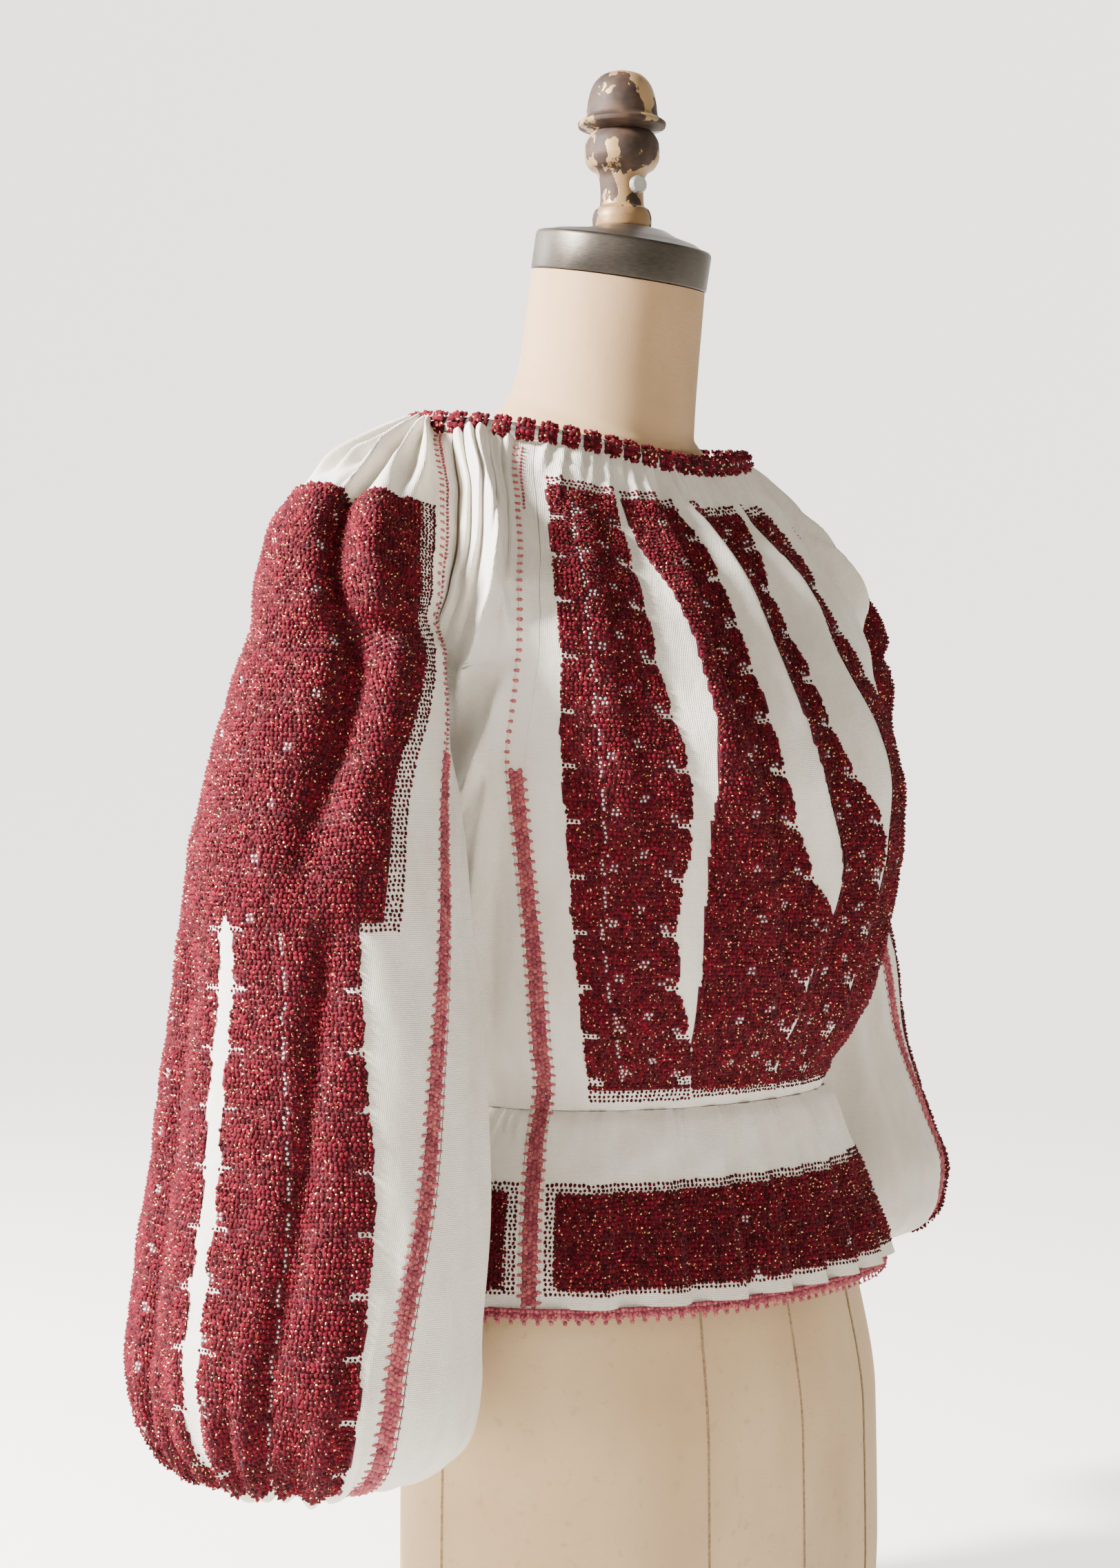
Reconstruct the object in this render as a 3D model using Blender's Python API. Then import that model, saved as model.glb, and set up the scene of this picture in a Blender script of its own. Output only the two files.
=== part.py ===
"""Romanian ie blouse worn by a limbless vintage dress form, as separate sewn pieces.

The front faces -Y, the wearer's left is +X, and the form stands on z = 0. Tables and sizes are in
millimetres and degrees. An angle round the body is 0 at the centre front and grows towards the
wearer's left; "drop" runs from 0 at the neckline to 1 at the waist seam.
"""
import math

import bpy
import numpy as np

MM = 0.001

CLOTH = 1.2
WOOL = 1.2
SEAM_GAP = 0.35
STRIP = 11.0
SEAM_STAND = 1.3
WAIST_Z = 319.0
RIM_Z, RIM_FALL, RIM_DIP = 676.4, 11.25, 3.6
HEM_Z = 222.0
EDGING_DROP = 8.0
SCALLOP = 7.0
BAND_HEIGHT = 9.0
BAND_THICK = 2.0
BAND_UPRIGHT = 1.2
MIDDLE_SHIFT = (4.505, 10.817)

COTTON = ("aged white cotton", (0.80, 0.76, 0.70), 0.9, 0.0)
BURGUNDY = ("burgundy wool on cotton", (0.16, 0.012, 0.03), 0.95, 0.0)
CROCHET = ("rose crochet", (0.42, 0.11, 0.14), 0.95, 0.0)
LINEN = ("aged form linen", (0.62, 0.50, 0.37), 0.9, 0.0)
STEEL = ("grey steel", (0.20, 0.19, 0.18), 0.5, 0.9)
GILT = ("chipped gold paint", (0.50, 0.32, 0.14), 0.55, 0.2)


def table(names, *rows):
    """A table whose first column is the key that the others are read at."""
    return dict(zip(names.split(), np.array(rows, float).T))


TORSO = table("drop half_width front back centre square",
              (0.00, 118, -47, 103, 28, 2.0),
              (0.05, 134, -58, 106, 29, 2.1),
              (0.10, 150, -70, 108, 29, 2.2),
              (0.17, 164, -87, 110, 28, 2.4),
              (0.23, 171, -100, 109, 25, 2.6),
              (0.28, 171, -110, 107, 22, 2.6),
              (0.34, 163, -122, 105, 19, 2.5),
              (0.43, 155, -139, 100, 12, 2.45),
              (0.52, 153, -147, 95, 6, 2.45),
              (0.60, 151, -148, 91, 2, 2.4),
              (0.68, 148, -145, 87, -2, 2.35),
              (0.77, 144, -139, 83, -6, 2.3),
              (0.85, 138, -131, 79, -9, 2.25),
              (0.91, 131, -120, 76, -11, 2.15),
              (0.96, 124, -107, 74, -13, 2.1),
              (1.00, 122, -101, 73, -14, 2.1))

# Angles of the seams on the wearer's left; the right side mirrors them.
SEAMS = table("drop front_strip sleeve_front sleeve_back back_strip",
              (0.00, 67, 87, 117, 130),
              (0.05, 65, 81, 121, 133),
              (0.10, 62.5, 76.5, 122, 134),
              (0.19, 60.5, 74, 119, 134),
              (0.24, 60.8, 75, 117, 134),
              (0.30, 61.5, 79, 112, 133),
              (0.335, 62.5, 85, 105, 132),
              (0.36, 63.5, 95, 95, 132),
              (0.50, 69, 95, 95, 130),
              (0.65, 70, 95, 95, 128),
              (0.81, 71.5, 95, 95, 126),
              (0.93, 74.5, 95, 95, 124),
              (1.00, 77, 95, 95, 123))
ARMPIT_DROP = 0.36
# The same two strips further down, on the flounce.
FLOUNCE_SEAMS = table("fall front_strip back_strip",
                      (0.0, 77, 123),
                      (1.0, 72.5, 121))
# How far the side panels stop short of the sleeve seam, where the cloth turns a corner.
ARMHOLE_GAP = table("drop gap",
                    (0.00, 0.9),
                    (0.10, 1.3),
                    (0.20, 1.5),
                    (0.30, 2.4),
                    (0.36, 2.5))

# Angles of the borders of the four stitched columns on the front, a to d.
COLUMNS = table("drop a0 a1 b0 b1 c0 c1 d0 d1",
                (0.05, -60, -41.5, -39.5, -20, -12.5, 15, 17, 40),
                (0.13, -57.5, -40, -37.5, -14.5, -7.5, 11, 15.5, 38),
                (0.22, -56.5, -39, -33, -15, -8.5, 6.5, 17, 30),
                (0.32, -56.5, -38.5, -31, -16.2, -9.8, 5.5, 13.5, 33),
                (0.41, -58.5, -37.5, -30.5, -16.5, -10.2, 4.5, 14, 42),
                (0.50, -60, -36.2, -31.5, -15.5, -8.5, 8, 15, 50),
                (0.58, -60.5, -37, -33.5, -12.5, -4.5, 13.5, 15.5, 54),
                (0.65, -61.2, -39, -34.5, -8, -2, 14, 14.5, 55),
                (0.72, -62, -41, -35.5, -2.2, -1.8, 14, 14.2, 56),
                (0.80, -62.5, -41, -36.3, -6.5, -6.2, 13, 13.2, 56),
                (0.89, -63.5, -38, -37.6, -7, -6.8, 13, 13.2, 58),
                (1.00, -65.5, -35.5, -35.2, 3, 3.2, 20, 20.2, 62))
BACK_COLUMNS = (144, 158, 166, 178, 184, 196, 204, 216)
COLUMN_TOP, COLUMN_BOTTOM = 0.056, 0.98

# Long folds of the front: the crest's angle and how far it rises, with its soft and its steep flank.
FOLDS = table("drop near_crest centre_crest far_crest side_crest",
              (0.00, -30, -12, 17, -52),
              (0.09, -27.5, -9, 16, -50),
              (0.22, -28, -8.5, 17, -49),
              (0.32, -28.5, -9.8, 13.5, -49),
              (0.50, -25.5, -8.5, 15, -48),
              (0.65, -22, -2, 14.5, -50),
              (0.80, -18, -6, 13, -52),
              (1.00, -12, 3, 20, -53))
FOLD_RISE = table("drop near_crest centre_crest far_crest side_crest",
                  (0.00, 0, 0, 0, 0),
                  (0.08, 2.5, 3.5, 3.5, 1),
                  (0.20, 5, 7.5, 8, 2),
                  (0.45, 5.5, 8, 8, 2.5),
                  (0.60, 4, 6, 5, 2),
                  (0.75, 2.5, 3, 3, 1.5),
                  (0.90, 1.5, 2, 2, 1),
                  (1.00, 0, 0, 0, 0))
SOFT_FLANK, STEEP_FLANK = 11.0, 3.5

# The top of the sleeve head: its ridge, in the wearer's left frame, and the half angle of its arc.
HEAD = table("row drop ridge_x ridge_y ridge_z half_arc",
             (0, 0.000, 112, 51, 682, 30),
             (1, 0.045, 152, 44, 668, 38),
             (2, 0.095, 184, 39, 656, 50),
             (3, 0.150, 215, 34, 642, 70),
             (4, 0.205, 238, 30, 615, 92),
             (5, 0.265, 250, 24, 583, 115),
             (6, 0.330, 257, 18, 556, 128))

# Level ovals of each sleeve below the head; start and end are the seam angles from its outer line.
NEAR_TUBE = table("row z x y reach_x reach_y start end",
                  (5, 584, 192, 21, 57.6, 39.7, -115, 115),
                  (6, 556, 208, 16, 50, 55, -128, 126),
                  (7, 526, 214, 15, 55, 60, -126, 130),
                  (8, 490, 220, 14, 59, 65, -116, 132),
                  (9, 450, 227, 12, 64, 72, -109, 130),
                  (10, 405, 229, 11, 67, 79, -100, 126),
                  (11, 350, 231, 10, 70, 87, -89, 122),
                  (12, 295, 236, 8, 73, 92, -83, 118),
                  (13, 245, 244, 6, 75, 95, -77, 115),
                  (14, 205, 248, 5, 75, 95, -73, 113),
                  (15, 175, 247, 4, 70, 90, -70, 112),
                  (16, 156, 245, 4, 58, 76, -69, 111),
                  (17, 147, 244, 4, 42, 56, -68, 110),
                  (18, 152, 244, 4, 31, 40, -68, 110))
FAR_TUBE = table("row z x y reach_x reach_y start end",
                 (5, 584, 192, 21, 57.6, 39.7, -115, 115),
                 (6, 558, 206, 17, 49, 52, -128, 126),
                 (7, 530, 210, 20, 50, 53, -126, 130),
                 (8, 497, 214, 24, 50, 52, -116, 132),
                 (9, 465, 221, 30, 49, 50, -109, 130),
                 (10, 427, 230, 36, 48, 51, -100, 126),
                 (11, 380, 233, 38, 54, 59, -89, 122),
                 (12, 331, 236, 40, 59, 66, -83, 118),
                 (13, 291, 238, 40, 68, 78, -77, 115),
                 (14, 252, 239, 40, 75, 91, -73, 113),
                 (15, 228, 238, 40, 72, 88, -70, 112),
                 (16, 213, 237, 40, 62, 77, -69, 111),
                 (17, 206, 236, 40, 46, 58, -68, 110),
                 (18, 211, 236, 40, 34, 42, -68, 110))
SIDES = (("right", -1, NEAR_TUBE), ("left", 1, FAR_TUBE))
SLEEVE_ROWS = (0.08, 0.5, 1, 2, 3, 4, 5, 6, 7, 8, 9, 9.7, 11, 12, 13, 14, 15, 16, 17, 18)
UNDERARM_ROWS = SLEEVE_ROWS[SLEEVE_ROWS.index(5):]
CUFF_HEIGHT = 30.0

# The form below the waist seam, by height, and how deep it lies under the blouse above it.
HIPS = table("z half_width front back centre",
             (0, 161, -121, 83, -19),
             (60, 165, -124, 86, -19),
             (140, 164, -123, 86, -19),
             (205, 153, -114, 80, -17),
             (260, 134, -100, 72, -15),
             (300, 118, -91, 67, -14),
             (319, 115, -90, 66, -14))
FLOUNCE_CENTRE = -14.0
INSET = table("drop depth",
              (0.00, 1.05),
              (0.06, 1.4),
              (0.13, 1.9),
              (0.20, 3.4),
              (0.28, 5.0),
              (0.40, 10.0),
              (0.70, 14.0),
              (0.90, 14.0),
              (1.00, 7.0))
# Rings of the form above the neckband: half sizes, centre, and height with its fall to the front.
NECK = table("row half_width half_depth centre z front_fall",
             (0, 108, 65, 27, 675, 11),
             (1, 92, 58, 23, 680, 12),
             (2, 74, 54, 18, 686, 12),
             (3, 60, 52, 14, 694, 17),
             (4, 52, 50.5, 12, 703, 20),
             (5, 50.5, 50, 9, 722, 12),
             (6, 49.5, 49.5, 5, 750, 9),
             (7, 48.8, 48.8, 1.5, 774.6, 9.2))
CAP_RADIUS = 49.6
CAP_HEIGHT = 22.0
CAP_TOP_Z = 803.0
FINIAL_Z = 803.3
FINIAL = table("row radius z",
               (0, 16.0, 0), (1, 16.6, 1.5), (2, 16.8, 6), (3, 15.6, 10.5), (4, 12.6, 13.5),
               (5, 12.2, 20), (6, 12.8, 28), (7, 14.5, 32), (8, 19.0, 35.5), (9, 21.2, 41),
               (10, 21.0, 48), (11, 18.5, 53.5), (12, 16.6, 55.6), (13, 24.6, 58), (14, 25.0, 60.0),
               (15, 20.5, 64), (16, 19.4, 72), (17, 17.0, 80.5), (18, 11.5, 87), (19, 4.0, 89.7))


def glide(x, knots, values):
    """A smooth curve through the knots that never swings past them."""
    x = np.clip(np.asarray(x, float), knots[0], knots[-1])
    step = np.diff(knots)
    slope = np.diff(values) / step
    tangent = np.zeros(len(knots))
    tangent[0], tangent[-1] = slope[0], slope[-1]
    same = slope[:-1] * slope[1:] > 0
    total = np.where(same, slope[:-1] + slope[1:], 1.0)
    tangent[1:-1] = np.where(same, 2 * slope[:-1] * slope[1:] / total, 0.0)
    i = np.clip(np.searchsorted(knots, x, side="right") - 1, 0, len(step) - 1)
    t = (x - knots[i]) / step[i]
    ends = values[i] * (1 + 2 * t) * (1 - t) ** 2 + values[i + 1] * t * t * (3 - 2 * t)
    return ends + step[i] * (tangent[i] * t * (1 - t) ** 2 + tangent[i + 1] * t * t * (t - 1))


def read(columns, name, x):
    key = next(iter(columns))
    return glide(x, columns[key], columns[name])


def ease(x):
    x = np.clip(x, 0, 1)
    return x * x * (3 - 2 * x)


def oval(angle, half, front, back, power):
    """Reach from the centre of an oval whose front and back differ."""
    turn = np.radians(angle)
    depth = np.where(np.cos(turn) > 0, front, back)
    return ((abs(np.sin(turn)) / half) ** power + (abs(np.cos(turn)) / depth) ** power) ** (-1 / power)


def rim(angle):
    """Height of the neckline: low at the front, high at the back."""
    turn = np.radians(angle)
    return RIM_Z - RIM_FALL * np.cos(turn) - RIM_DIP * np.cos(2 * turn)


def torso_point(angle, drop):
    angle, drop = np.broadcast_arrays(np.asarray(angle, float), np.asarray(drop, float))
    turn = np.radians(angle)
    centre = read(TORSO, "centre", drop)
    reach = oval(angle, read(TORSO, "half_width", drop), centre - read(TORSO, "front", drop),
                 read(TORSO, "back", drop) - centre, read(TORSO, "square", drop))
    z = rim(angle) + (WAIST_Z - rim(angle)) * drop
    return np.stack([reach * np.sin(turn), centre - reach * np.cos(turn), z], -1)


def unit(vectors):
    return vectors / np.linalg.norm(vectors, axis=-1, keepdims=True)


def torso_normal(angle, drop):
    across = torso_point(angle + 0.5, drop) - torso_point(angle - 0.5, drop)
    below = torso_point(angle, np.minimum(drop + 0.005, 1))
    above = torso_point(angle, np.maximum(drop - 0.005, 0))
    return unit(np.cross(below - above, across))


def torso_degrees(length, angle, drop):
    """The angle that spans a length along the torso."""
    span = torso_point(angle + 0.5, drop) - torso_point(angle - 0.5, drop)
    return length / np.linalg.norm(span, axis=-1)


def seam(name, drop, side):
    """A panel's edge beside an insertion strip; side is -1 before the strip and 1 after it."""
    centre = read(SEAMS, name, drop)
    return centre + side * torso_degrees(STRIP / 2 + SEAM_GAP / 2, centre, drop)


def peplum_point(angle, fall):
    """The flounce below the waist seam; fall runs from 0 at the waist to 1 at the cloth's hem."""
    angle, fall = np.broadcast_arrays(np.asarray(angle, float), np.asarray(fall, float))
    spread = np.where(fall < 1, np.clip(fall, 0, 1) ** 0.8, fall)
    turn = np.radians(angle)
    reach = oval(angle, 122 + 43 * spread, 87 + 28 * spread, 87 + 28 * spread, 2.1)
    z = WAIST_Z - 0.5 + (HEM_Z - WAIST_Z + 0.5) * fall
    return np.stack([reach * np.sin(turn), FLOUNCE_CENTRE - reach * np.cos(turn), z], -1)


def flounce_seam(name, fall, side, clear=1):
    """A flounce panel's edge beside a strip, or with clear = -1 the strip's own edge."""
    centre = read(FLOUNCE_SEAMS, name, fall)
    span = peplum_point(centre + 0.5, fall) - peplum_point(centre - 0.5, fall)
    return centre + side * (STRIP / 2 + clear * SEAM_GAP / 2) / np.linalg.norm(span, axis=-1)


def outward(angle):
    turn = np.radians(np.asarray(angle, float))
    return np.stack([np.sin(turn), -np.cos(turn), 0 * turn], -1)


def fold_height(angle, drop):
    """Long front folds: a soft flank towards the wearer's right, a steep one towards the left."""
    height = 0
    for name in ("near_crest", "centre_crest", "far_crest", "side_crest"):
        past = angle - read(FOLDS, name, drop)
        flank = np.where(past < 0, ease(1 + past / SOFT_FLANK), ease(1 - past / STEEP_FLANK))
        height = np.maximum(height, read(FOLD_RISE, name, drop) * flank)
    return height


def sleeve_frame(row, tube):
    """Centre, outward and backward vectors of a sleeve's oval, with its seam angles in degrees."""
    row = np.asarray(row, float)
    drop = read(HEAD, "drop", row)
    half = read(HEAD, "half_arc", row)
    off_body = (SEAM_STAND * ease((row - 3) / 2))[..., None]
    front_angle, back_angle = read(SEAMS, "sleeve_front", drop), read(SEAMS, "sleeve_back", drop)
    front = torso_point(front_angle, drop) + torso_normal(front_angle, drop) * off_body
    back = torso_point(back_angle, drop) + torso_normal(back_angle, drop) * off_body
    ridge = np.stack([read(HEAD, name, row) for name in ("ridge_x", "ridge_y", "ridge_z")], -1)
    middle = (front + back) / 2
    cosine = np.cos(np.radians(half))[..., None]
    head_centre = middle - (ridge - middle) * cosine / (1 - cosine)
    head_out = ridge - head_centre
    head_back = (back - front) / 2 / np.sin(np.radians(half))[..., None]
    centre = np.stack([read(tube, name, row) for name in ("x", "y", "z")], -1)
    flat = np.zeros(row.shape)
    out = np.stack([read(tube, "reach_x", row), flat, flat], -1)
    rear = np.stack([flat, read(tube, "reach_y", row), flat], -1)
    blend = ease(row - 5)
    start = np.where(row < 5, -half, read(tube, "start", row))
    end = np.where(row < 5, half, read(tube, "end", row))
    mix = blend[..., None]
    return (head_centre + (centre - head_centre) * mix, head_out + (out - head_out) * mix,
            head_back + (rear - head_back) * mix, start, end)


def sleeve_point(angle, row, tube):
    centre, out, rear, start, end = sleeve_frame(row, tube)
    turn = np.radians(angle)[..., None]
    return centre + out * np.cos(turn) + rear * np.sin(turn)


def sleeve_degrees(length, angle, row, tube):
    span = sleeve_point(angle + 0.5, row, tube) - sleeve_point(angle - 0.5, row, tube)
    return length / np.linalg.norm(span, axis=-1)


def grid_normals(points):
    down = np.gradient(points, axis=0)
    across = np.gradient(points, axis=1)
    return unit(np.cross(down, across))


def clear_scene():
    for thing in list(bpy.data.objects):
        bpy.data.objects.remove(thing, do_unlink=True)


def material_for(finish):
    name, colour, roughness, metallic = finish
    found = bpy.data.materials.get(name)
    if found:
        return found
    made = bpy.data.materials.new(name)
    made.use_nodes = True
    made.diffuse_color = (*colour, 1)
    shader = made.node_tree.nodes["Principled BSDF"]
    shader.inputs["Base Color"].default_value = (*colour, 1)
    shader.inputs["Roughness"].default_value = roughness
    shader.inputs["Metallic"].default_value = metallic
    return made


def volume(points, triangles):
    a, b, c = (points[triangles[:, k]] for k in range(3))
    return (a * np.cross(b, c)).sum() / 6


def model_frame():
    """The empty that carries every piece and puts the frame's origin under the middle of the whole."""
    found = bpy.data.objects.get("model_frame")
    if found:
        return found
    frame = bpy.data.objects.new("model_frame", None)
    frame.location = (MIDDLE_SHIFT[0] * MM, MIDDLE_SHIFT[1] * MM, 0)
    bpy.context.scene.collection.objects.link(frame)
    return frame


def make_object(name, points, triangles, finish, smooth_angle=40):
    points = np.asarray(points, float)
    triangles = np.asarray(triangles)
    centred = points - points.mean(0)
    if volume(centred, triangles) < 0:
        triangles = triangles[:, ::-1]
    mesh = bpy.data.meshes.new(name)
    mesh.from_pydata((points * MM).tolist(), [], triangles.tolist())
    mesh.materials.append(material_for(finish))
    mesh.shade_smooth()
    mesh.set_sharp_from_angle(angle=math.radians(smooth_angle))
    thing = bpy.data.objects.new(name, mesh)
    bpy.context.scene.collection.objects.link(thing)
    thing.parent = model_frame()
    return thing


def split_quads(quads, points):
    """Both faces of a wall are split along the same, shorter diagonal."""
    triangles = []
    for a, b, c, d in quads:
        if np.linalg.norm(points[a] - points[c]) <= np.linalg.norm(points[b] - points[d]):
            triangles += [(a, b, c), (a, c, d)]
        else:
            triangles += [(a, b, d), (b, c, d)]
    return triangles


def wall(name, middle, normals, quads, finish, side=1, raised=0.0, thick=CLOTH):
    """Closes a sheet of quads into a wall: plain inside, raised outside."""
    middle = middle.reshape(-1, 3)
    normals = normals.reshape(-1, 3)
    raised = np.broadcast_to(np.asarray(raised, float).reshape(-1, 1), (len(middle), 1))
    inner = middle - normals * thick / 2
    outer = middle + normals * (thick / 2 + raised)
    count = len(middle)
    faces = split_quads(quads, middle)
    triangles = [(a + count, b + count, c + count) for a, b, c in faces]
    triangles += [(c, b, a) for a, b, c in faces]
    edges = {(a, b) for face in faces for a, b in zip(face, face[1:] + face[:1])}
    for a, b in edges:
        if (b, a) not in edges:
            triangles += [(a, b, b + count), (a, b + count, a + count)]
    points = np.concatenate([inner, outer]) * (side, 1, 1)
    return make_object(name, points, triangles, finish)


def grid_quads(rows, columns, closed=False):
    quads = []
    for r in range(rows - 1):
        for c in range(columns if closed else columns - 1):
            n = (c + 1) % columns
            quads.append((r * columns + c, (r + 1) * columns + c, (r + 1) * columns + n, r * columns + n))
    return quads


def grid_wall(name, points, finish, side=1, raised=0.0, thick=CLOTH, normals=None):
    rows, columns = points.shape[:2]
    if normals is None:
        normals = grid_normals(points)
    return wall(name, points, normals, grid_quads(rows, columns), finish, side, raised, thick)


def spread(low, high, count):
    """Values from low to high, a row for each pair; low and high are arrays."""
    t = np.linspace(0, 1, count)
    low, high = np.asarray(low, float), np.asarray(high, float)
    return low[..., None] * (1 - t) + high[..., None] * t


# Every torso piece has the same rows, so that the edges at a seam run side by side.
BODY_ROWS = (0, 0.02, 0.05, 0.062, 0.12, 0.18, 0.24, 0.29, 0.325, 0.36, 0.43, 0.51, 0.59, 0.68,
             0.77, 0.86, 0.93, 0.975, 1.0)
BORDER = 0.4
MIDS = (2, 3, 2, 4)
GAP_MIDS = (0, 1, 0)
CLOSED_GAP = 1.0
LEAST_STEP = 0.3
GATHER = 2.4


def column_lines(borders, low, high, mids, gap_mids):
    """One row of grid lines that follow the stitched columns' borders, and which stand raised."""
    lines, raised = [low, (low + borders[0]) / 2], [0, 0]
    pairs = list(zip(borders[::2], borders[1::2]))
    for k, (first, last) in enumerate(pairs):
        before = k > 0 and first - pairs[k - 1][1] < CLOSED_GAP
        after = k + 1 < len(pairs) and pairs[k + 1][0] - last < CLOSED_GAP
        lines += [first - BORDER, first + BORDER]
        raised += [float(before), 1]
        for m in range(mids[k]):
            lines.append(first + (last - first) * (m + 1) / (mids[k] + 1))
            raised.append(1)
        lines += [last - BORDER, last + BORDER]
        raised += [1, float(after)]
        if k + 1 < len(pairs):
            for m in range(gap_mids[k]):
                lines.append(last + (pairs[k + 1][0] - last) * (m + 1) / (gap_mids[k] + 1))
                raised.append(float(after))
    lines += [(borders[-1] + high) / 2, high]
    raised += [0, 0]
    for i in range(1, len(lines)):
        lines[i] = max(lines[i], lines[i - 1] + LEAST_STEP)
    return np.array(lines), np.array(raised)


def stitched_panel(name, low, high, borders_at, mids, gap_mids, folds):
    """A body panel with raised columns, fine gathers at the neckline and long folds below."""
    rows = np.array(BODY_ROWS)
    angles, raised = [], []
    for drop in rows:
        lines, lift = column_lines(borders_at(drop), low(drop), high(drop), mids, gap_mids)
        if drop < 0.03:
            lines = np.linspace(low(drop), high(drop), len(lines))
        angles.append(lines)
        raised.append(lift * WOOL * (COLUMN_TOP < drop < COLUMN_BOTTOM))
    angles, raised = np.array(angles), np.array(raised)
    drops = np.repeat(rows[:, None], angles.shape[1], 1)
    normals = torso_normal(angles, drops)
    ripple = (np.arange(angles.shape[1]) % 2) * GATHER * ease(1 - drops / 0.055)
    ripple[:, [0, -1]] = 0
    lift = ripple + (fold_height(angles, drops) if folds else 0)
    points = torso_point(angles, drops) + normals * lift[..., None]
    grid_wall(name, points, COTTON, raised=raised, normals=normals)


def front_panel():
    stitched_panel("front_panel", lambda drop: -seam("front_strip", drop, -1),
                   lambda drop: seam("front_strip", drop, -1),
                   lambda drop: [float(read(COLUMNS, name, drop)) for name in list(COLUMNS)[1:]],
                   MIDS, GAP_MIDS, True)


def back_panel():
    stitched_panel("back_panel", lambda drop: seam("back_strip", drop, 1),
                   lambda drop: 360 - seam("back_strip", drop, 1),
                   lambda drop: list(BACK_COLUMNS), (0, 0, 0, 0), (0, 1, 0), False)


LEG_COLUMNS = 5


def side_panel(label, side):
    """One piece under the arm, with a leg up to the neckline before and behind the armhole."""
    rows = np.array(BODY_ROWS)
    joined = BODY_ROWS.index(ARMPIT_DROP)
    hole_front = read(SEAMS, "sleeve_front", rows)
    hole_back = read(SEAMS, "sleeve_back", rows)
    set_back = torso_degrees(read(ARMHOLE_GAP, "gap", rows), hole_front, rows)
    open_rows = rows < ARMPIT_DROP
    hole_front = np.where(open_rows, hole_front - set_back, hole_front)
    hole_back = np.where(open_rows, hole_back + set_back, hole_back)
    front_leg = spread(seam("front_strip", rows, 1), hole_front, LEG_COLUMNS)
    back_leg = spread(hole_back, seam("back_strip", rows, -1), LEG_COLUMNS)
    number, angles, drops = {}, [], []
    for r, drop in enumerate(rows):
        for c in range(2 * LEG_COLUMNS):
            if c == LEG_COLUMNS and r >= joined:
                number[r, c] = number[r, c - 1]
                continue
            number[r, c] = len(angles)
            leg = front_leg if c < LEG_COLUMNS else back_leg
            angles.append(leg[r, c % LEG_COLUMNS])
            lowered = 0.007 if (r, c) == (joined, LEG_COLUMNS - 1) else 0
            drops.append(drop + lowered)
    quads = []
    for r in range(len(rows) - 1):
        for c in range(2 * LEG_COLUMNS - 1):
            if c == LEG_COLUMNS - 1:
                continue
            quads.append((number[r, c], number[r + 1, c], number[r + 1, c + 1], number[r, c + 1]))
    angles, drops = np.array(angles), np.array(drops)
    normals = torso_normal(angles, drops)
    wave = np.sin(np.radians(angles * 18)) ** 2 * ease((0.36 - drops) / 0.3) * 1.6
    wave *= (drops < ARMPIT_DROP)
    wall("side_panel_" + label, torso_point(angles, drops) + normals * wave[:, None], normals, quads,
         COTTON, side)


STRIP_FALLS = (0.03, 0.25, 0.5, 0.75, 1.0)


def body_strip(name, seam_name, side):
    """A crochet strip from the neckline, across the waist seam, to the hem."""
    rows = np.array(BODY_ROWS)
    centre = read(SEAMS, seam_name, rows)
    half = torso_degrees(STRIP / 2 - SEAM_GAP / 2, centre, rows)
    angles = spread(centre - half, centre + half, 2)
    above = torso_point(angles, rows[:, None])
    falls = np.array(STRIP_FALLS)
    angles = spread(flounce_seam(seam_name, falls, -1, -1), flounce_seam(seam_name, falls, 1, -1), 2)
    below = peplum_point(angles, falls[:, None])
    grid_wall(name, np.concatenate([above, below]), CROCHET, side)


# Shares of the sleeve's width: the stitching's front border and the middle of the gap in its lower part.
SLEEVE_BORDERS = table("row front gap",
                       (0.0, 0.06, 0.5),
                       (5.5, 0.06, 0.5),
                       (7.5, 0.10, 0.46),
                       (9.7, 0.13, 0.445),
                       (11.0, 0.12, 0.425),
                       (12.5, 0.069, 0.40),
                       (18.0, 0.045, 0.37))
BACK_BORDER = 0.90
HALF_GAP = 0.024
EDGE = 0.007
SLEEVE_GATHER = 2.6
STITCHED_ROWS = (2.5, 15.5)
ALTITSA_END = 9.4


def strip_span(row, tube):
    """Angles of the two strips' inner and outer edges on the sleeve at a row."""
    start, end = sleeve_frame(row, tube)[3:]
    first = sleeve_degrees(STRIP, start, row, tube)
    last = sleeve_degrees(STRIP, end, row, tube)
    return start, start + first, end - last, end


def sleeve_ripple(fraction_index, rows):
    """Gathers at the neckline and at the cuff, a crest on every second grid line."""
    top = ease(1 - rows / 1.6)
    bottom = ease((rows - 11.5) / 3.5) * ease((18.5 - rows) / 1.5)
    return (fraction_index % 2) * (SLEEVE_GATHER * top + 3.0 * bottom)


def sleeve_lines(row):
    """Shares of the sleeve's width at a row's grid lines, with those in the gap and in the stitching."""
    front, gap = read(SLEEVE_BORDERS, "front", row), read(SLEEVE_BORDERS, "gap", row)
    near, far = gap - HALF_GAP, gap + HALF_GAP
    lines = [0, front / 2, front - EDGE, *np.linspace(front + EDGE, near - EDGE, 5), near + EDGE, gap,
             far - EDGE, *np.linspace(far + EDGE, BACK_BORDER - EDGE, 6), BACK_BORDER + EDGE, 0.95, 1]
    in_gap = [False] * 8 + [True] * 3 + [False] * 9
    stitched = [False] * 3 + [True] * 14 + [False] * 3
    return np.array(lines), np.array(in_gap), np.array(stitched)


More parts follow.
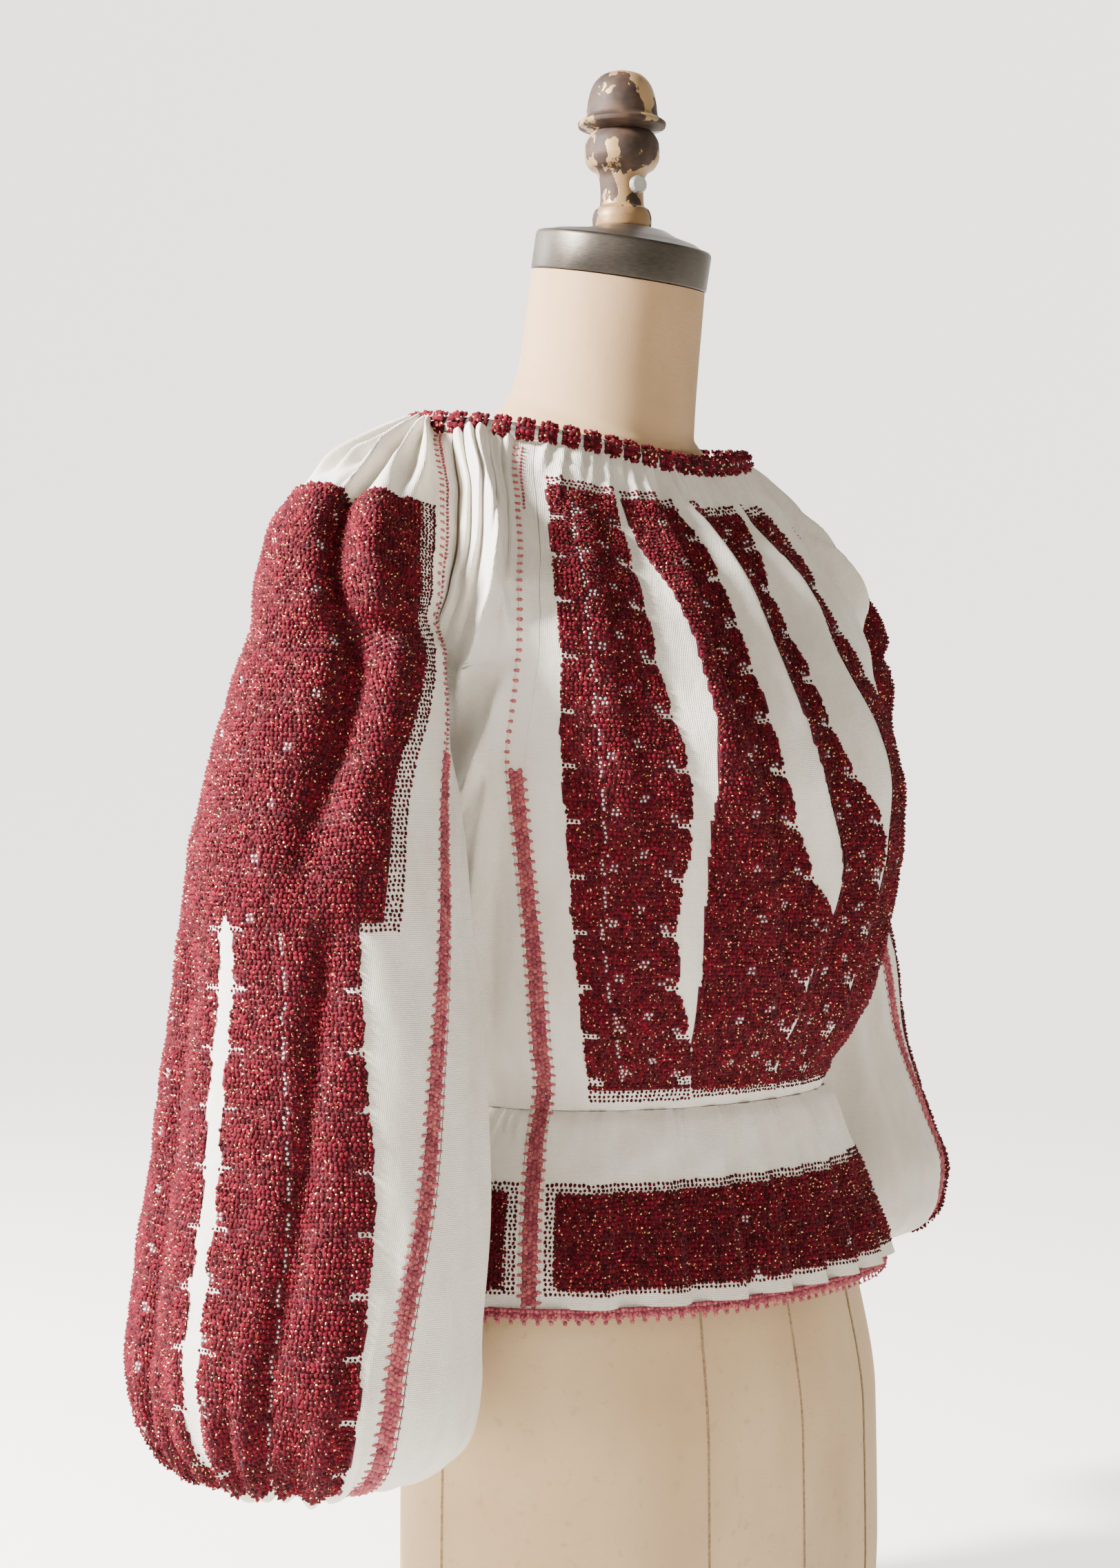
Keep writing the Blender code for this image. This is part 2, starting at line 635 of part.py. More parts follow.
def sleeve(label, side, tube):
    rows = np.array(SLEEVE_ROWS, float)
    start, low, high, end = strip_span(rows, tube)
    gap = sleeve_degrees(SEAM_GAP, low, rows, tube)
    low, high = low + gap, high - gap
    shares = np.array([sleeve_lines(row)[0] for row in rows])
    in_gap, stitched = sleeve_lines(0)[1:]
    angles = low[:, None] + (high - low)[:, None] * shares
    grid_rows = np.repeat(rows[:, None], shares.shape[1], 1)
    base = sleeve_point(angles, grid_rows, tube)
    normals = grid_normals(base)
    ripple = sleeve_ripple(np.arange(shares.shape[1])[None, :] + 0 * grid_rows, grid_rows)
    ripple[:, [0, -1]] = 0
    raised = np.zeros_like(angles)
    inside = (rows > STITCHED_ROWS[0]) & (rows < STITCHED_ROWS[1])
    raised[np.ix_(inside, stitched)] = WOOL
    raised[np.ix_(inside & (rows > ALTITSA_END), in_gap)] = 0
    grid_wall("sleeve_" + label, base + normals * ripple[..., None], COTTON, side, raised,
              normals=normals)


def sleeve_strip(name, side, tube, at_front):
    rows = np.array(SLEEVE_ROWS, float)
    start, low, high, end = strip_span(rows, tube)
    gap = sleeve_degrees(SEAM_GAP, start, rows, tube)
    if at_front:
        angles = spread(start + gap, low, 2)
    else:
        angles = spread(high, end - gap, 2)
    grid_rows = np.repeat(rows[:, None], 2, 1)
    grid_wall(name, sleeve_point(angles, grid_rows, tube), CROCHET, side)


UNDERARM_COLUMNS = 10


def underarm(label, side, tube):
    """The plain panel between the two strips, from the armhole's lower curve to the cuff."""
    rows = np.array(UNDERARM_ROWS, float)
    start, end = sleeve_frame(rows, tube)[3:]
    gap = sleeve_degrees(SEAM_GAP, start, rows, tube)
    first, last = end + gap, start + 360 - gap
    angles = spread(first, last, UNDERARM_COLUMNS)
    grid_rows = np.repeat(rows[:, None], UNDERARM_COLUMNS, 1)
    points = sleeve_point(angles, grid_rows, tube)
    share = np.linspace(0, 1, UNDERARM_COLUMNS)
    drop = read(HEAD, "drop", 5.0)
    deep = drop + (ARMPIT_DROP - drop) * (1 - abs(2 * share - 1) ** 2.5)
    front = torso_point(read(SEAMS, "sleeve_front", deep), deep)
    back = torso_point(read(SEAMS, "sleeve_back", deep), deep)
    edge = np.where(share[:, None] > 0.5, front, back)
    edge = edge + torso_normal(read(SEAMS, "sleeve_back", deep), deep) * 1.6
    shift = (edge - points[0]) * np.clip(np.minimum(share, 1 - share) * 12, 0, 1)[:, None]
    fade = ease(1 - (rows - 5) / 2.2)
    points = points + shift[None] * fade[:, None, None]
    ripple = (np.arange(UNDERARM_COLUMNS) % 2)[None] * 2.5 * ease((rows - 12) / 3)[:, None]
    ripple[:, [0, -1]] = 0
    normals = grid_normals(points)
    grid_wall("underarm_" + label, points + normals * ripple[..., None], COTTON, side, normals=normals)


CUFF_SIDES = 20


def cuff(label, side, tube):
    """A narrow gathered band inside the turned-under end of the sleeve, open all round its hole."""
    row = 18.0
    angles = np.linspace(0, 360, CUFF_SIDES, endpoint=False)
    ring = sleeve_point(angles, np.full(CUFF_SIDES, row), tube)
    ring = ring + (0, 0, SEAM_GAP + 0.4)
    rings = np.stack([ring + (0, 0, CUFF_HEIGHT * t) for t in (0, 0.5, 1)])
    out = unit(ring - ring.mean(0))
    normals = np.repeat(out[None], 3, 0)
    wall("cuff_" + label, rings, normals, grid_quads(3, CUFF_SIDES, closed=True), COTTON, side,
         thick=1.6)


PLEAT_FALLS = (0, 0.20, 0.365, 0.385, 0.935, 1.0)
BAND_FALLS = (0.375, 0.95)
PLEAT_DEPTH = 5.0


def pleat_lines(pleats):
    """Shares of a panel's width where knife pleats have a long face, a crest and a quick return."""
    shares, lift = [0.0], [0.0]
    for k in range(pleats):
        shares += [(k + 0.42) / pleats, (k + 0.80) / pleats, (k + 1) / pleats]
        lift += [0.45, 1.0, 0.0]
    return np.array(shares), np.array(lift)


def peplum(name, low, high, pleats, side=1):
    falls = np.array(PLEAT_FALLS)
    shares, lift = pleat_lines(pleats)
    low, high = low(falls)[:, None], high(falls)[:, None]
    angles = low + (high - low) * shares
    grid_falls = np.repeat(falls[:, None], len(shares), 1)
    rise = lift[None] * (0.35 + 0.65 * grid_falls) * PLEAT_DEPTH
    base = peplum_point(angles, grid_falls)
    points = base + outward(angles) * rise[..., None]
    raised = ((grid_falls > BAND_FALLS[0]) & (grid_falls < BAND_FALLS[1])) * WOOL
    grid_wall(name, points, COTTON, side, raised, normals=grid_normals(base))


def peplums():
    peplum("peplum_front", lambda fall: -flounce_seam("front_strip", fall, -1),
           lambda fall: flounce_seam("front_strip", fall, -1), 9)
    peplum("peplum_back", lambda fall: flounce_seam("back_strip", fall, 1),
           lambda fall: 360 - flounce_seam("back_strip", fall, 1), 7)
    for label, side, tube in SIDES:
        peplum("peplum_side_" + label, lambda fall: flounce_seam("front_strip", fall, 1),
               lambda fall: flounce_seam("back_strip", fall, -1), 3, side)


def hem_edging():
    """Crochet shells round the hem, one tooth for each pair of columns."""
    teeth = 76
    angles = np.linspace(0, 360, 2 * teeth, endpoint=False)
    tip = np.arange(2 * teeth) % 2
    top = peplum_point(angles, 1.0)
    top = top + outward(angles) * 2.2 - (0, 0, SEAM_GAP)
    low = top - (0, 0, 1) * (3.0 + (EDGING_DROP - 3.0) * tip)[:, None]
    points = np.stack([top, low])
    normals = np.stack([outward(angles)] * 2)
    wall("hem_edging", points, normals, grid_quads(2, 2 * teeth, closed=True), CROCHET, thick=1.4)


BAND_SIDES = 56


def band_ring(height, angles):
    """A ring of the neckband, which rises a little more steeply than the torso's slope."""
    low = torso_point(angles, 0 * angles)
    up_slope = unit(torso_point(angles, 0 * angles) - torso_point(angles, 0 * angles + 0.01))
    rising = unit(up_slope + (0, 0, BAND_UPRIGHT))
    return low + rising * height


def neckband():
    angles = np.linspace(0, 360, BAND_SIDES, endpoint=False)
    rows = np.stack([band_ring(height, angles) for height in (0.6, BAND_HEIGHT / 2, BAND_HEIGHT)])
    normals = unit(torso_normal(angles, 0 * angles) + outward(angles) * 0.8)
    normals = np.stack([normals] * 3)
    raised = np.array([0, 0.7, 0])[:, None] + 0 * angles
    wall("neckband", rows, normals, grid_quads(3, BAND_SIDES, closed=True), BURGUNDY, raised=raised,
         thick=BAND_THICK - 0.4)


def closed_rings(name, rings, finish, smooth_angle=50):
    """A solid through rings of one size, closed by a fan at each end."""
    rings = np.asarray(rings, float)
    count, sides = rings.shape[:2]
    points = np.concatenate([rings.reshape(-1, 3), [rings[0].mean(0)], [rings[-1].mean(0)]])
    quads = grid_quads(count, sides, closed=True)
    triangles = split_quads(quads, points)
    first, last = count * sides, count * sides + 1
    for c in range(sides):
        n = (c + 1) % sides
        triangles.append((first, c, n))
        triangles.append((last, (count - 1) * sides + n, (count - 1) * sides + c))
    make_object(name, points, triangles, finish, smooth_angle)


FORM_SIDES = BAND_SIDES // 2
FORM_LEVELS = (0, 70, 140, 205, 260, 300)
FORM_DROPS = (1.0, 0.92, 0.80, 0.66, 0.52, 0.42, 0.34, 0.27, 0.2, 0.13, 0.06)


def form_torso():
    angles = np.linspace(0, 360, FORM_SIDES, endpoint=False)
    turn = np.radians(angles)
    rings = []
    for z in FORM_LEVELS:
        centre = read(HIPS, "centre", z)
        reach = oval(angles, read(HIPS, "half_width", z), centre - read(HIPS, "front", z),
                     read(HIPS, "back", z) - centre, 2.1)
        rings.append(np.stack([reach * np.sin(turn), centre - reach * np.cos(turn), z + 0 * turn], -1))
    for drop in FORM_DROPS:
        normal = torso_normal(angles, drop + 0 * angles)
        rings.append(torso_point(angles, drop) - normal * read(INSET, "depth", drop))
    rings.append(torso_point(angles, 0.0) - torso_normal(angles, 0 * angles) * read(INSET, "depth", 0.0))
    for row in NECK["row"]:
        half, deep, centre, z, fall = (float(read(NECK, name, row)) for name in list(NECK)[1:])
        reach = oval(angles, half, deep, deep, 2.0)
        rings.append(np.stack([reach * np.sin(turn), centre - reach * np.cos(turn),
                               z - fall * np.cos(turn)], -1))
    closed_rings("form_torso", rings, LINEN)


CAP_SIDES = 28


def neck_cap():
    """A steel cap on the neck, tipped forward with it, whose crown levels out under the finial."""
    angles = np.linspace(0, 360, CAP_SIDES, endpoint=False)
    turn = np.radians(angles)
    base, centre, fall = 774.95, 1.5, 9.2 * CAP_RADIUS / 48.8
    rings = []
    for radius, rise, level in ((CAP_RADIUS - 1, 0, 0), (CAP_RADIUS, 1, 0), (CAP_RADIUS, CAP_HEIGHT - 3, 0),
                                (CAP_RADIUS - 1, CAP_HEIGHT - 0.8, 0), (CAP_RADIUS - 4, CAP_HEIGHT, 0),
                                (30, CAP_HEIGHT + 2.6, 0.3), (19, 0, 1)):
        tilt = fall * radius / CAP_RADIUS
        z = (base + rise - tilt * np.cos(turn)) * (1 - level) + CAP_TOP_Z * level
        shift = centre - rise * 0.19 if level < 1 else -1.0
        rings.append(np.stack([radius * np.sin(turn), shift - radius * np.cos(turn), z], -1))
    closed_rings("neck_cap", rings, STEEL, 35)


FINIAL_SIDES = 20


def finial():
    turn = np.linspace(0, 2 * math.pi, FINIAL_SIDES, endpoint=False)
    rings = [np.stack([radius * np.sin(turn), -1 - radius * np.cos(turn), FINIAL_Z + z + 0 * turn], -1)
             for radius, z in zip(FINIAL["radius"], FINIAL["z"])]
    closed_rings("finial", rings, GILT, 35)


SCREW_TURN = -20.0
SCREW_Z = 826.0


def set_screw():
    """The small slotted screw that holds the finial on its rod."""
    turn = np.linspace(0, 2 * math.pi, 16, endpoint=False)
    axis = outward(SCREW_TURN)
    across = np.cross((0, 0, 1), axis)
    rings = []
    for radius, reach in ((3.0, 12.9), (3.0, 16.0), (5.0, 16.1), (5.2, 18.4), (4.2, 19.4)):
        centre = np.array([0, -1, SCREW_Z]) + axis * reach
        ring = np.cos(turn)[:, None] * across + np.sin(turn)[:, None] * np.array([0, 0, 1.0])
        rings.append(centre + ring * radius)
    closed_rings("finial_set_screw", rings, STEEL, 35)


def build():
    clear_scene()
    form_torso()
    neck_cap()
    finial()
    set_screw()
    front_panel()
    back_panel()
    for label, side, tube in SIDES:
        side_panel(label, side)
        body_strip("front_strip_" + label, "front_strip", side)
        body_strip("back_strip_" + label, "back_strip", side)
        sleeve(label, side, tube)
        sleeve_strip("sleeve_front_strip_" + label, side, tube, True)
        sleeve_strip("sleeve_back_strip_" + label, side, tube, False)
        underarm(label, side, tube)
        cuff(label, side, tube)
    peplums()
    neckband()
    hem_edging()


build()
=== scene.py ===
"""Looks of a Romanian ie blouse on a dress form: stitched cotton, crochet, the form, its cap and finial.

Tables and sizes are in millimetres and degrees. The front faces -Y and the wearer's left is +X. An angle
round the body is 0 at the centre front; "drop" runs from 0 at the neckline to 1 at the waist seam, "fall"
from 0 at the waist seam to 1 at the hem, and "row" from 0 at a sleeve's neckline to 18 inside its cuff.
"""
import math

import bpy
import numpy as np
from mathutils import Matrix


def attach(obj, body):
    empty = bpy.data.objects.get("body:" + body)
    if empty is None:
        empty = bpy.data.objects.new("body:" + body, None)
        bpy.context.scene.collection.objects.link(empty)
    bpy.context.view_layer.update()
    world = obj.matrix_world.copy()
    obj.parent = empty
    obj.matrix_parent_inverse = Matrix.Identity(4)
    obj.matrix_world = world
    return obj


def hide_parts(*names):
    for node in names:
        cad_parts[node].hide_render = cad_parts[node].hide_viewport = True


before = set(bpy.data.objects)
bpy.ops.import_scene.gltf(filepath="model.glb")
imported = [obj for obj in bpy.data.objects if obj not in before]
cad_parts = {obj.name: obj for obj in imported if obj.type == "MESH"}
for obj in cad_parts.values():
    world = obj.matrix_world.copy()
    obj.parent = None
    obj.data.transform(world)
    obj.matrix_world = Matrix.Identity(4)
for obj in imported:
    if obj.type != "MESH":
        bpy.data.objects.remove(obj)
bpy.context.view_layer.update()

MM = 0.001
# Moves the middle of what is modelled here to the middle of the frame.
SHIFT = np.array([4.505, 10.817, 0]) * MM
# An insertion strip's width, the gap at its seams, and how far a sleeve's edges stand off the body.
STRIP, SEAM_GAP, SEAM_STAND = 11.0, 0.35, 1.3
STRIP_COLUMNS = 5
WAIST_Z, HEM_Z = 319.0, 222.0
RIM_Z, RIM_FALL, RIM_DIP = 676.4, 11.25, 3.6
SCALLOP = 7.0
BAND_HEIGHT, BAND_UPRIGHT = 9.0, 1.2


def table(names, *rows):
    """A table whose first column is the key that the others are read at."""
    return dict(zip(names.split(), np.array(rows, float).T))


TORSO = table(
    "drop half_width front back centre square",
    (0.00, 118, -47, 103, 28, 2.0),
    (0.05, 134, -58, 106, 29, 2.1),
    (0.10, 150, -70, 108, 29, 2.2),
    (0.17, 164, -87, 110, 28, 2.4),
    (0.23, 171, -100, 109, 25, 2.6),
    (0.28, 171, -110, 107, 22, 2.6),
    (0.34, 163, -122, 105, 19, 2.5),
    (0.43, 155, -139, 100, 12, 2.45),
    (0.52, 153, -147, 95, 6, 2.45),
    (0.60, 151, -148, 91, 2, 2.4),
    (0.68, 148, -145, 87, -2, 2.35),
    (0.77, 144, -139, 83, -6, 2.3),
    (0.85, 138, -131, 79, -9, 2.25),
    (0.91, 131, -120, 76, -11, 2.15),
    (0.96, 124, -107, 74, -13, 2.1),
    (1.00, 122, -101, 73, -14, 2.1))

# Angles of the seams on the wearer's left; the right side mirrors them.
SEAMS = table(
    "drop front_strip sleeve_front sleeve_back back_strip",
    (0.00, 67, 87, 117, 130),
    (0.05, 65, 81, 121, 133),
    (0.10, 62.5, 76.5, 122, 134),
    (0.19, 60.5, 74, 119, 134),
    (0.24, 60.8, 75, 117, 134),
    (0.30, 61.5, 79, 112, 133),
    (0.335, 62.5, 85, 105, 132),
    (0.36, 63.5, 95, 95, 132),
    (0.50, 69, 95, 95, 130),
    (0.65, 70, 95, 95, 128),
    (0.81, 71.5, 95, 95, 126),
    (0.93, 74.5, 95, 95, 124),
    (1.00, 77, 95, 95, 123))
ARMPIT_DROP = 0.36
# The same two strips further down, on the flounce.
FLOUNCE_SEAMS = table(
    "fall front_strip back_strip",
    (0.0, 77, 123),
    (1.0, 72.5, 121))

# Angles of the borders of the four stitched columns on the front, a to d.
COLUMNS = table(
    "drop a0 a1 b0 b1 c0 c1 d0 d1",
    (0.05, -60, -41.5, -39.5, -20, -12.5, 15, 17, 40),
    (0.13, -57.5, -40, -37.5, -14.5, -7.5, 11, 15.5, 38),
    (0.22, -56.5, -39, -33, -15, -8.5, 6.5, 17, 30),
    (0.32, -56.5, -38.5, -31, -16.2, -9.8, 5.5, 13.5, 33),
    (0.41, -58.5, -37.5, -30.5, -16.5, -10.2, 4.5, 14, 42),
    (0.50, -60, -36.2, -31.5, -15.5, -8.5, 8, 15, 50),
    (0.58, -60.5, -37, -33.5, -12.5, -4.5, 13.5, 15.5, 54),
    (0.65, -61.2, -39, -34.5, -8, -2, 14, 14.5, 55),
    (0.72, -62, -41, -35.5, -2.2, -1.8, 14, 14.2, 56),
    (0.80, -62.5, -41, -36.3, -6.5, -6.2, 13, 13.2, 56),
    (0.89, -63.5, -38, -37.6, -7, -6.8, 13, 13.2, 58),
    (1.00, -65.5, -35.5, -35.2, 3, 3.2, 20, 20.2, 62))
BACK_COLUMNS = ((144.0, 158.0), (166.0, 178.0), (184.0, 196.0), (204.0, 216.0))
COLUMN_TOP, COLUMN_BOTTOM = 0.056, 0.98

# Long folds of the front: the crest's angle and how far it rises, with its soft and its steep flank.
FOLDS = table(
    "drop near_crest centre_crest far_crest side_crest",
    (0.00, -30, -12, 17, -52),
    (0.09, -27.5, -9, 16, -50),
    (0.22, -28, -8.5, 17, -49),
    (0.32, -28.5, -9.8, 13.5, -49),
    (0.50, -25.5, -8.5, 15, -48),
    (0.65, -22, -2, 14.5, -50),
    (0.80, -18, -6, 13, -52),
    (1.00, -12, 3, 20, -53))
FOLD_RISE = table(
    "drop near_crest centre_crest far_crest side_crest",
    (0.00, 0, 0, 0, 0),
    (0.08, 2.5, 3.5, 3.5, 1),
    (0.20, 5, 7.5, 8, 2),
    (0.45, 5.5, 8, 8, 2.5),
    (0.60, 4, 6, 5, 2),
    (0.75, 2.5, 3, 3, 1.5),
    (0.90, 1.5, 2, 2, 1),
    (1.00, 0, 0, 0, 0))
SOFT_FLANK, STEEP_FLANK, FOLD_SCALE = 11.0, 3.5, 1.5

# The top of the sleeve head: its ridge, in the wearer's left frame, and the half angle of its arc.
HEAD = table(
    "row drop ridge_x ridge_y ridge_z half_arc",
    (0, 0.000, 112, 51, 682, 30),
    (1, 0.045, 152, 44, 668, 38),
    (2, 0.095, 184, 39, 656, 50),
    (3, 0.150, 215, 34, 642, 70),
    (4, 0.205, 238, 30, 615, 92),
    (5, 0.265, 250, 24, 583, 115),
    (6, 0.330, 257, 18, 556, 128))

# Level ovals of each sleeve below the head; start and end are the seam angles from its outer line.
NEAR_TUBE = table(
    "row z x y reach_x reach_y start end",
    (5, 584, 192, 21, 57.6, 39.7, -115, 115),
    (6, 556, 208, 16, 50, 55, -128, 126),
    (7, 526, 214, 15, 55, 60, -126, 130),
    (8, 490, 220, 14, 59, 65, -116, 132),
    (9, 450, 227, 12, 64, 72, -109, 130),
    (10, 405, 229, 11, 67, 79, -100, 126),
    (11, 350, 231, 10, 70, 87, -89, 122),
    (12, 295, 236, 8, 73, 92, -83, 118),
    (13, 245, 244, 6, 75, 95, -77, 115),
    (14, 205, 248, 5, 75, 95, -73, 113),
    (15, 175, 247, 4, 70, 90, -70, 112),
    (16, 156, 245, 4, 58, 76, -69, 111),
    (17, 147, 244, 4, 42, 56, -68, 110),
    (18, 152, 244, 4, 31, 40, -68, 110))
FAR_TUBE = table(
    "row z x y reach_x reach_y start end",
    (5, 584, 192, 21, 57.6, 39.7, -115, 115),
    (6, 558, 206, 17, 49, 52, -128, 126),
    (7, 530, 210, 20, 50, 53, -126, 130),
    (8, 497, 214, 24, 50, 52, -116, 132),
    (9, 465, 221, 30, 49, 50, -109, 130),
    (10, 427, 230, 36, 48, 51, -100, 126),
    (11, 380, 233, 38, 54, 59, -89, 122),
    (12, 331, 236, 40, 59, 66, -83, 118),
    (13, 291, 238, 40, 68, 78, -77, 115),
    (14, 252, 239, 40, 75, 91, -73, 113),
    (15, 228, 238, 40, 72, 88, -70, 112),
    (16, 213, 237, 40, 62, 77, -69, 111),
    (17, 206, 236, 40, 46, 58, -68, 110),
    (18, 211, 236, 40, 34, 42, -68, 110))
SIDES = (("right", -1, NEAR_TUBE), ("left", 1, FAR_TUBE))
CUFF_HEIGHT = 30.0

# The form below the waist seam, by height.
HIPS = table(
    "z half_width front back centre",
    (0, 161, -121, 83, -19),
    (60, 165, -124, 86, -19),
    (140, 164, -123, 86, -19),
    (205, 153, -114, 80, -17),
    (260, 134, -100, 72, -15),
    (300, 118, -91, 67, -14),
    (319, 115, -90, 66, -14))
# The flounce's oval: its centre, half width and half depth at the waist, and how far each flares.
FLOUNCE_CENTRE, FLOUNCE_HALF, FLOUNCE_DEPTH = -14.0, 122, 87
FLOUNCE_FLARE, FLOUNCE_FLARE_DEPTH, FLOUNCE_POWER = 43, 28, 2.1
# How deep the form lies under the blouse above the waist seam.
INSET = table(
    "drop depth",
    (0.00, 1.05),
    (0.06, 1.4),
    (0.13, 1.9),
    (0.20, 3.4),
    (0.28, 5.0),
    (0.40, 10.0),
    (0.70, 14.0),
    (0.90, 14.0),
    (1.00, 7.0))
# Rings of the form above the neckband: half sizes, centre, and height with its fall to the front.
NECK = table(
    "row half_width half_depth centre z front_fall",
    (0, 108, 65, 27, 675, 11),
    (1, 92, 58, 23, 680, 12),
    (2, 74, 54, 18, 686, 12),
    (3, 60, 52, 14, 694, 17),
    (4, 52, 50.5, 12, 703, 20),
    (5, 50.5, 50, 9, 722, 12),
    (6, 49.5, 49.5, 5, 750, 9),
    (7, 48.8, 48.8, 1.5, 774.6, 9.2))
CAP_RADIUS, CAP_HEIGHT, CAP_TOP_Z = 49.6, 22.0, 803.0
# The finial's turned outline, from its foot up, and where it stands.
FINIAL_Y, FINIAL_Z = -1.0, 803.3
FINIAL = table(
    "row radius z",
    (0, 16.0, 0), (1, 16.6, 1.5), (2, 16.8, 6), (3, 15.6, 10.5), (4, 12.6, 13.5),
    (5, 12.2, 20), (6, 12.8, 28), (7, 14.5, 32), (8, 19.0, 35.5), (9, 21.2, 41),
    (10, 21.0, 48), (11, 18.5, 53.5), (12, 16.6, 55.6), (13, 24.6, 58), (14, 25.0, 60.0),
    (15, 20.5, 64), (16, 19.4, 72), (17, 17.0, 80.5), (18, 11.5, 87), (19, 4.0, 89.7))


def glide(x, knots, values):
    """A smooth curve through the knots that never swings past them."""
    x = np.clip(np.asarray(x, float), knots[0], knots[-1])
    step = np.diff(knots)
    slope = np.diff(values) / step
    tangent = np.zeros(len(knots))
    tangent[0], tangent[-1] = slope[0], slope[-1]
    same = slope[:-1] * slope[1:] > 0
    total = np.where(same, slope[:-1] + slope[1:], 1.0)
    tangent[1:-1] = np.where(same, 2 * slope[:-1] * slope[1:] / total, 0.0)
    i = np.clip(np.searchsorted(knots, x, side="right") - 1, 0, len(step) - 1)
    t = (x - knots[i]) / step[i]
    ends = values[i] * (1 + 2 * t) * (1 - t) ** 2 + values[i + 1] * t * t * (3 - 2 * t)
    return ends + step[i] * (tangent[i] * t * (1 - t) ** 2 + tangent[i + 1] * t * t * (t - 1))


def read(columns, name, x):
    """A table's column, read smoothly at x."""
    key = next(iter(columns))
    return glide(x, columns[key], columns[name])


def ease(x):
    x = np.clip(x, 0, 1)
    return x * x * (3 - 2 * x)


def oval(angle, half, front, back, power):
    """Reach from the centre of an oval whose front and back differ."""
    turn = np.radians(angle)
    depth = np.where(np.cos(turn) > 0, front, back)
    return ((abs(np.sin(turn)) / half) ** power + (abs(np.cos(turn)) / depth) ** power) ** (-1 / power)


def rim(angle):
    """Height of the neckline: low at the front, high at the back."""
    turn = np.radians(angle)
    return RIM_Z - RIM_FALL * np.cos(turn) - RIM_DIP * np.cos(2 * turn)


def around(turn, reach, centre, z):
    """Points round the form's axis, as far out as reach, from the front towards the wearer's left."""
    return np.stack([reach * np.sin(turn), centre - reach * np.cos(turn), z + 0 * turn], -1)


def torso_point(angle, drop):
    """A place on the blouse's body, before its folds."""
    angle, drop = np.broadcast_arrays(np.asarray(angle, float), np.asarray(drop, float))
    centre = read(TORSO, "centre", drop)
    reach = oval(angle, read(TORSO, "half_width", drop), centre - read(TORSO, "front", drop),
                 read(TORSO, "back", drop) - centre, read(TORSO, "square", drop))
    return around(np.radians(angle), reach, centre, rim(angle) + (WAIST_Z - rim(angle)) * drop)


def unit(vectors):
    return vectors / np.linalg.norm(vectors, axis=-1, keepdims=True)


def torso_normal(angle, drop):
    across = torso_point(angle + 0.5, drop) - torso_point(angle - 0.5, drop)
    below = torso_point(angle, np.minimum(drop + 0.005, 1))
    above = torso_point(angle, np.maximum(drop - 0.005, 0))
    return unit(np.cross(below - above, across))


def degrees_for(length, at, angle, v):
    """The angle that spans a length across a surface."""
    span = at(angle + 0.5, v) - at(angle - 0.5, v)
    return length / np.linalg.norm(span, axis=-1)


def lengths_along(line):
    """Length from the start of a line to each of its points."""
    return np.concatenate([[0], np.cumsum(np.linalg.norm(np.diff(line, axis=0), axis=-1))])


def beside(at, columns, name, v, side):
    """A panel's edge beside an insertion strip; side is -1 before the strip and 1 after it."""
    centre = read(columns, name, v)
    return centre + side * degrees_for(STRIP / 2 + SEAM_GAP / 2, at, centre, v)


def seam(name, drop, side):
    """The edge of a panel of the body beside a strip."""
    return beside(torso_point, SEAMS, name, drop, side)


def peplum_point(angle, fall):
    """The flounce below the waist seam; fall runs from 0 at the waist to 1 at the cloth's hem."""
    angle, fall = np.broadcast_arrays(np.asarray(angle, float), np.asarray(fall, float))
    flare = np.where(fall < 1, np.clip(fall, 0, 1) ** 0.8, fall)
    depth = FLOUNCE_DEPTH + FLOUNCE_FLARE_DEPTH * flare
    reach = oval(angle, FLOUNCE_HALF + FLOUNCE_FLARE * flare, depth, depth, FLOUNCE_POWER)
    return around(np.radians(angle), reach, FLOUNCE_CENTRE, WAIST_Z - 0.5 + (HEM_Z - WAIST_Z + 0.5) * fall)


def flounce_seam(name, fall, side):
    return beside(peplum_point, FLOUNCE_SEAMS, name, fall, side)


def outward(angle):
    turn = np.radians(np.asarray(angle, float))
    return np.stack([np.sin(turn), -np.cos(turn), 0 * turn], -1)


def fold_height(angle, drop):
    """Long front folds: a soft flank towards the wearer's right, a steep one towards the left."""
    height = 0
    for name in ("near_crest", "centre_crest", "far_crest", "side_crest"):
        past = angle - read(FOLDS, name, drop)
        flank = np.where(past < 0, ease(1 + past / SOFT_FLANK), ease(1 - past / STEEP_FLANK))
        height = np.maximum(height, read(FOLD_RISE, name, drop) * flank)
    return height


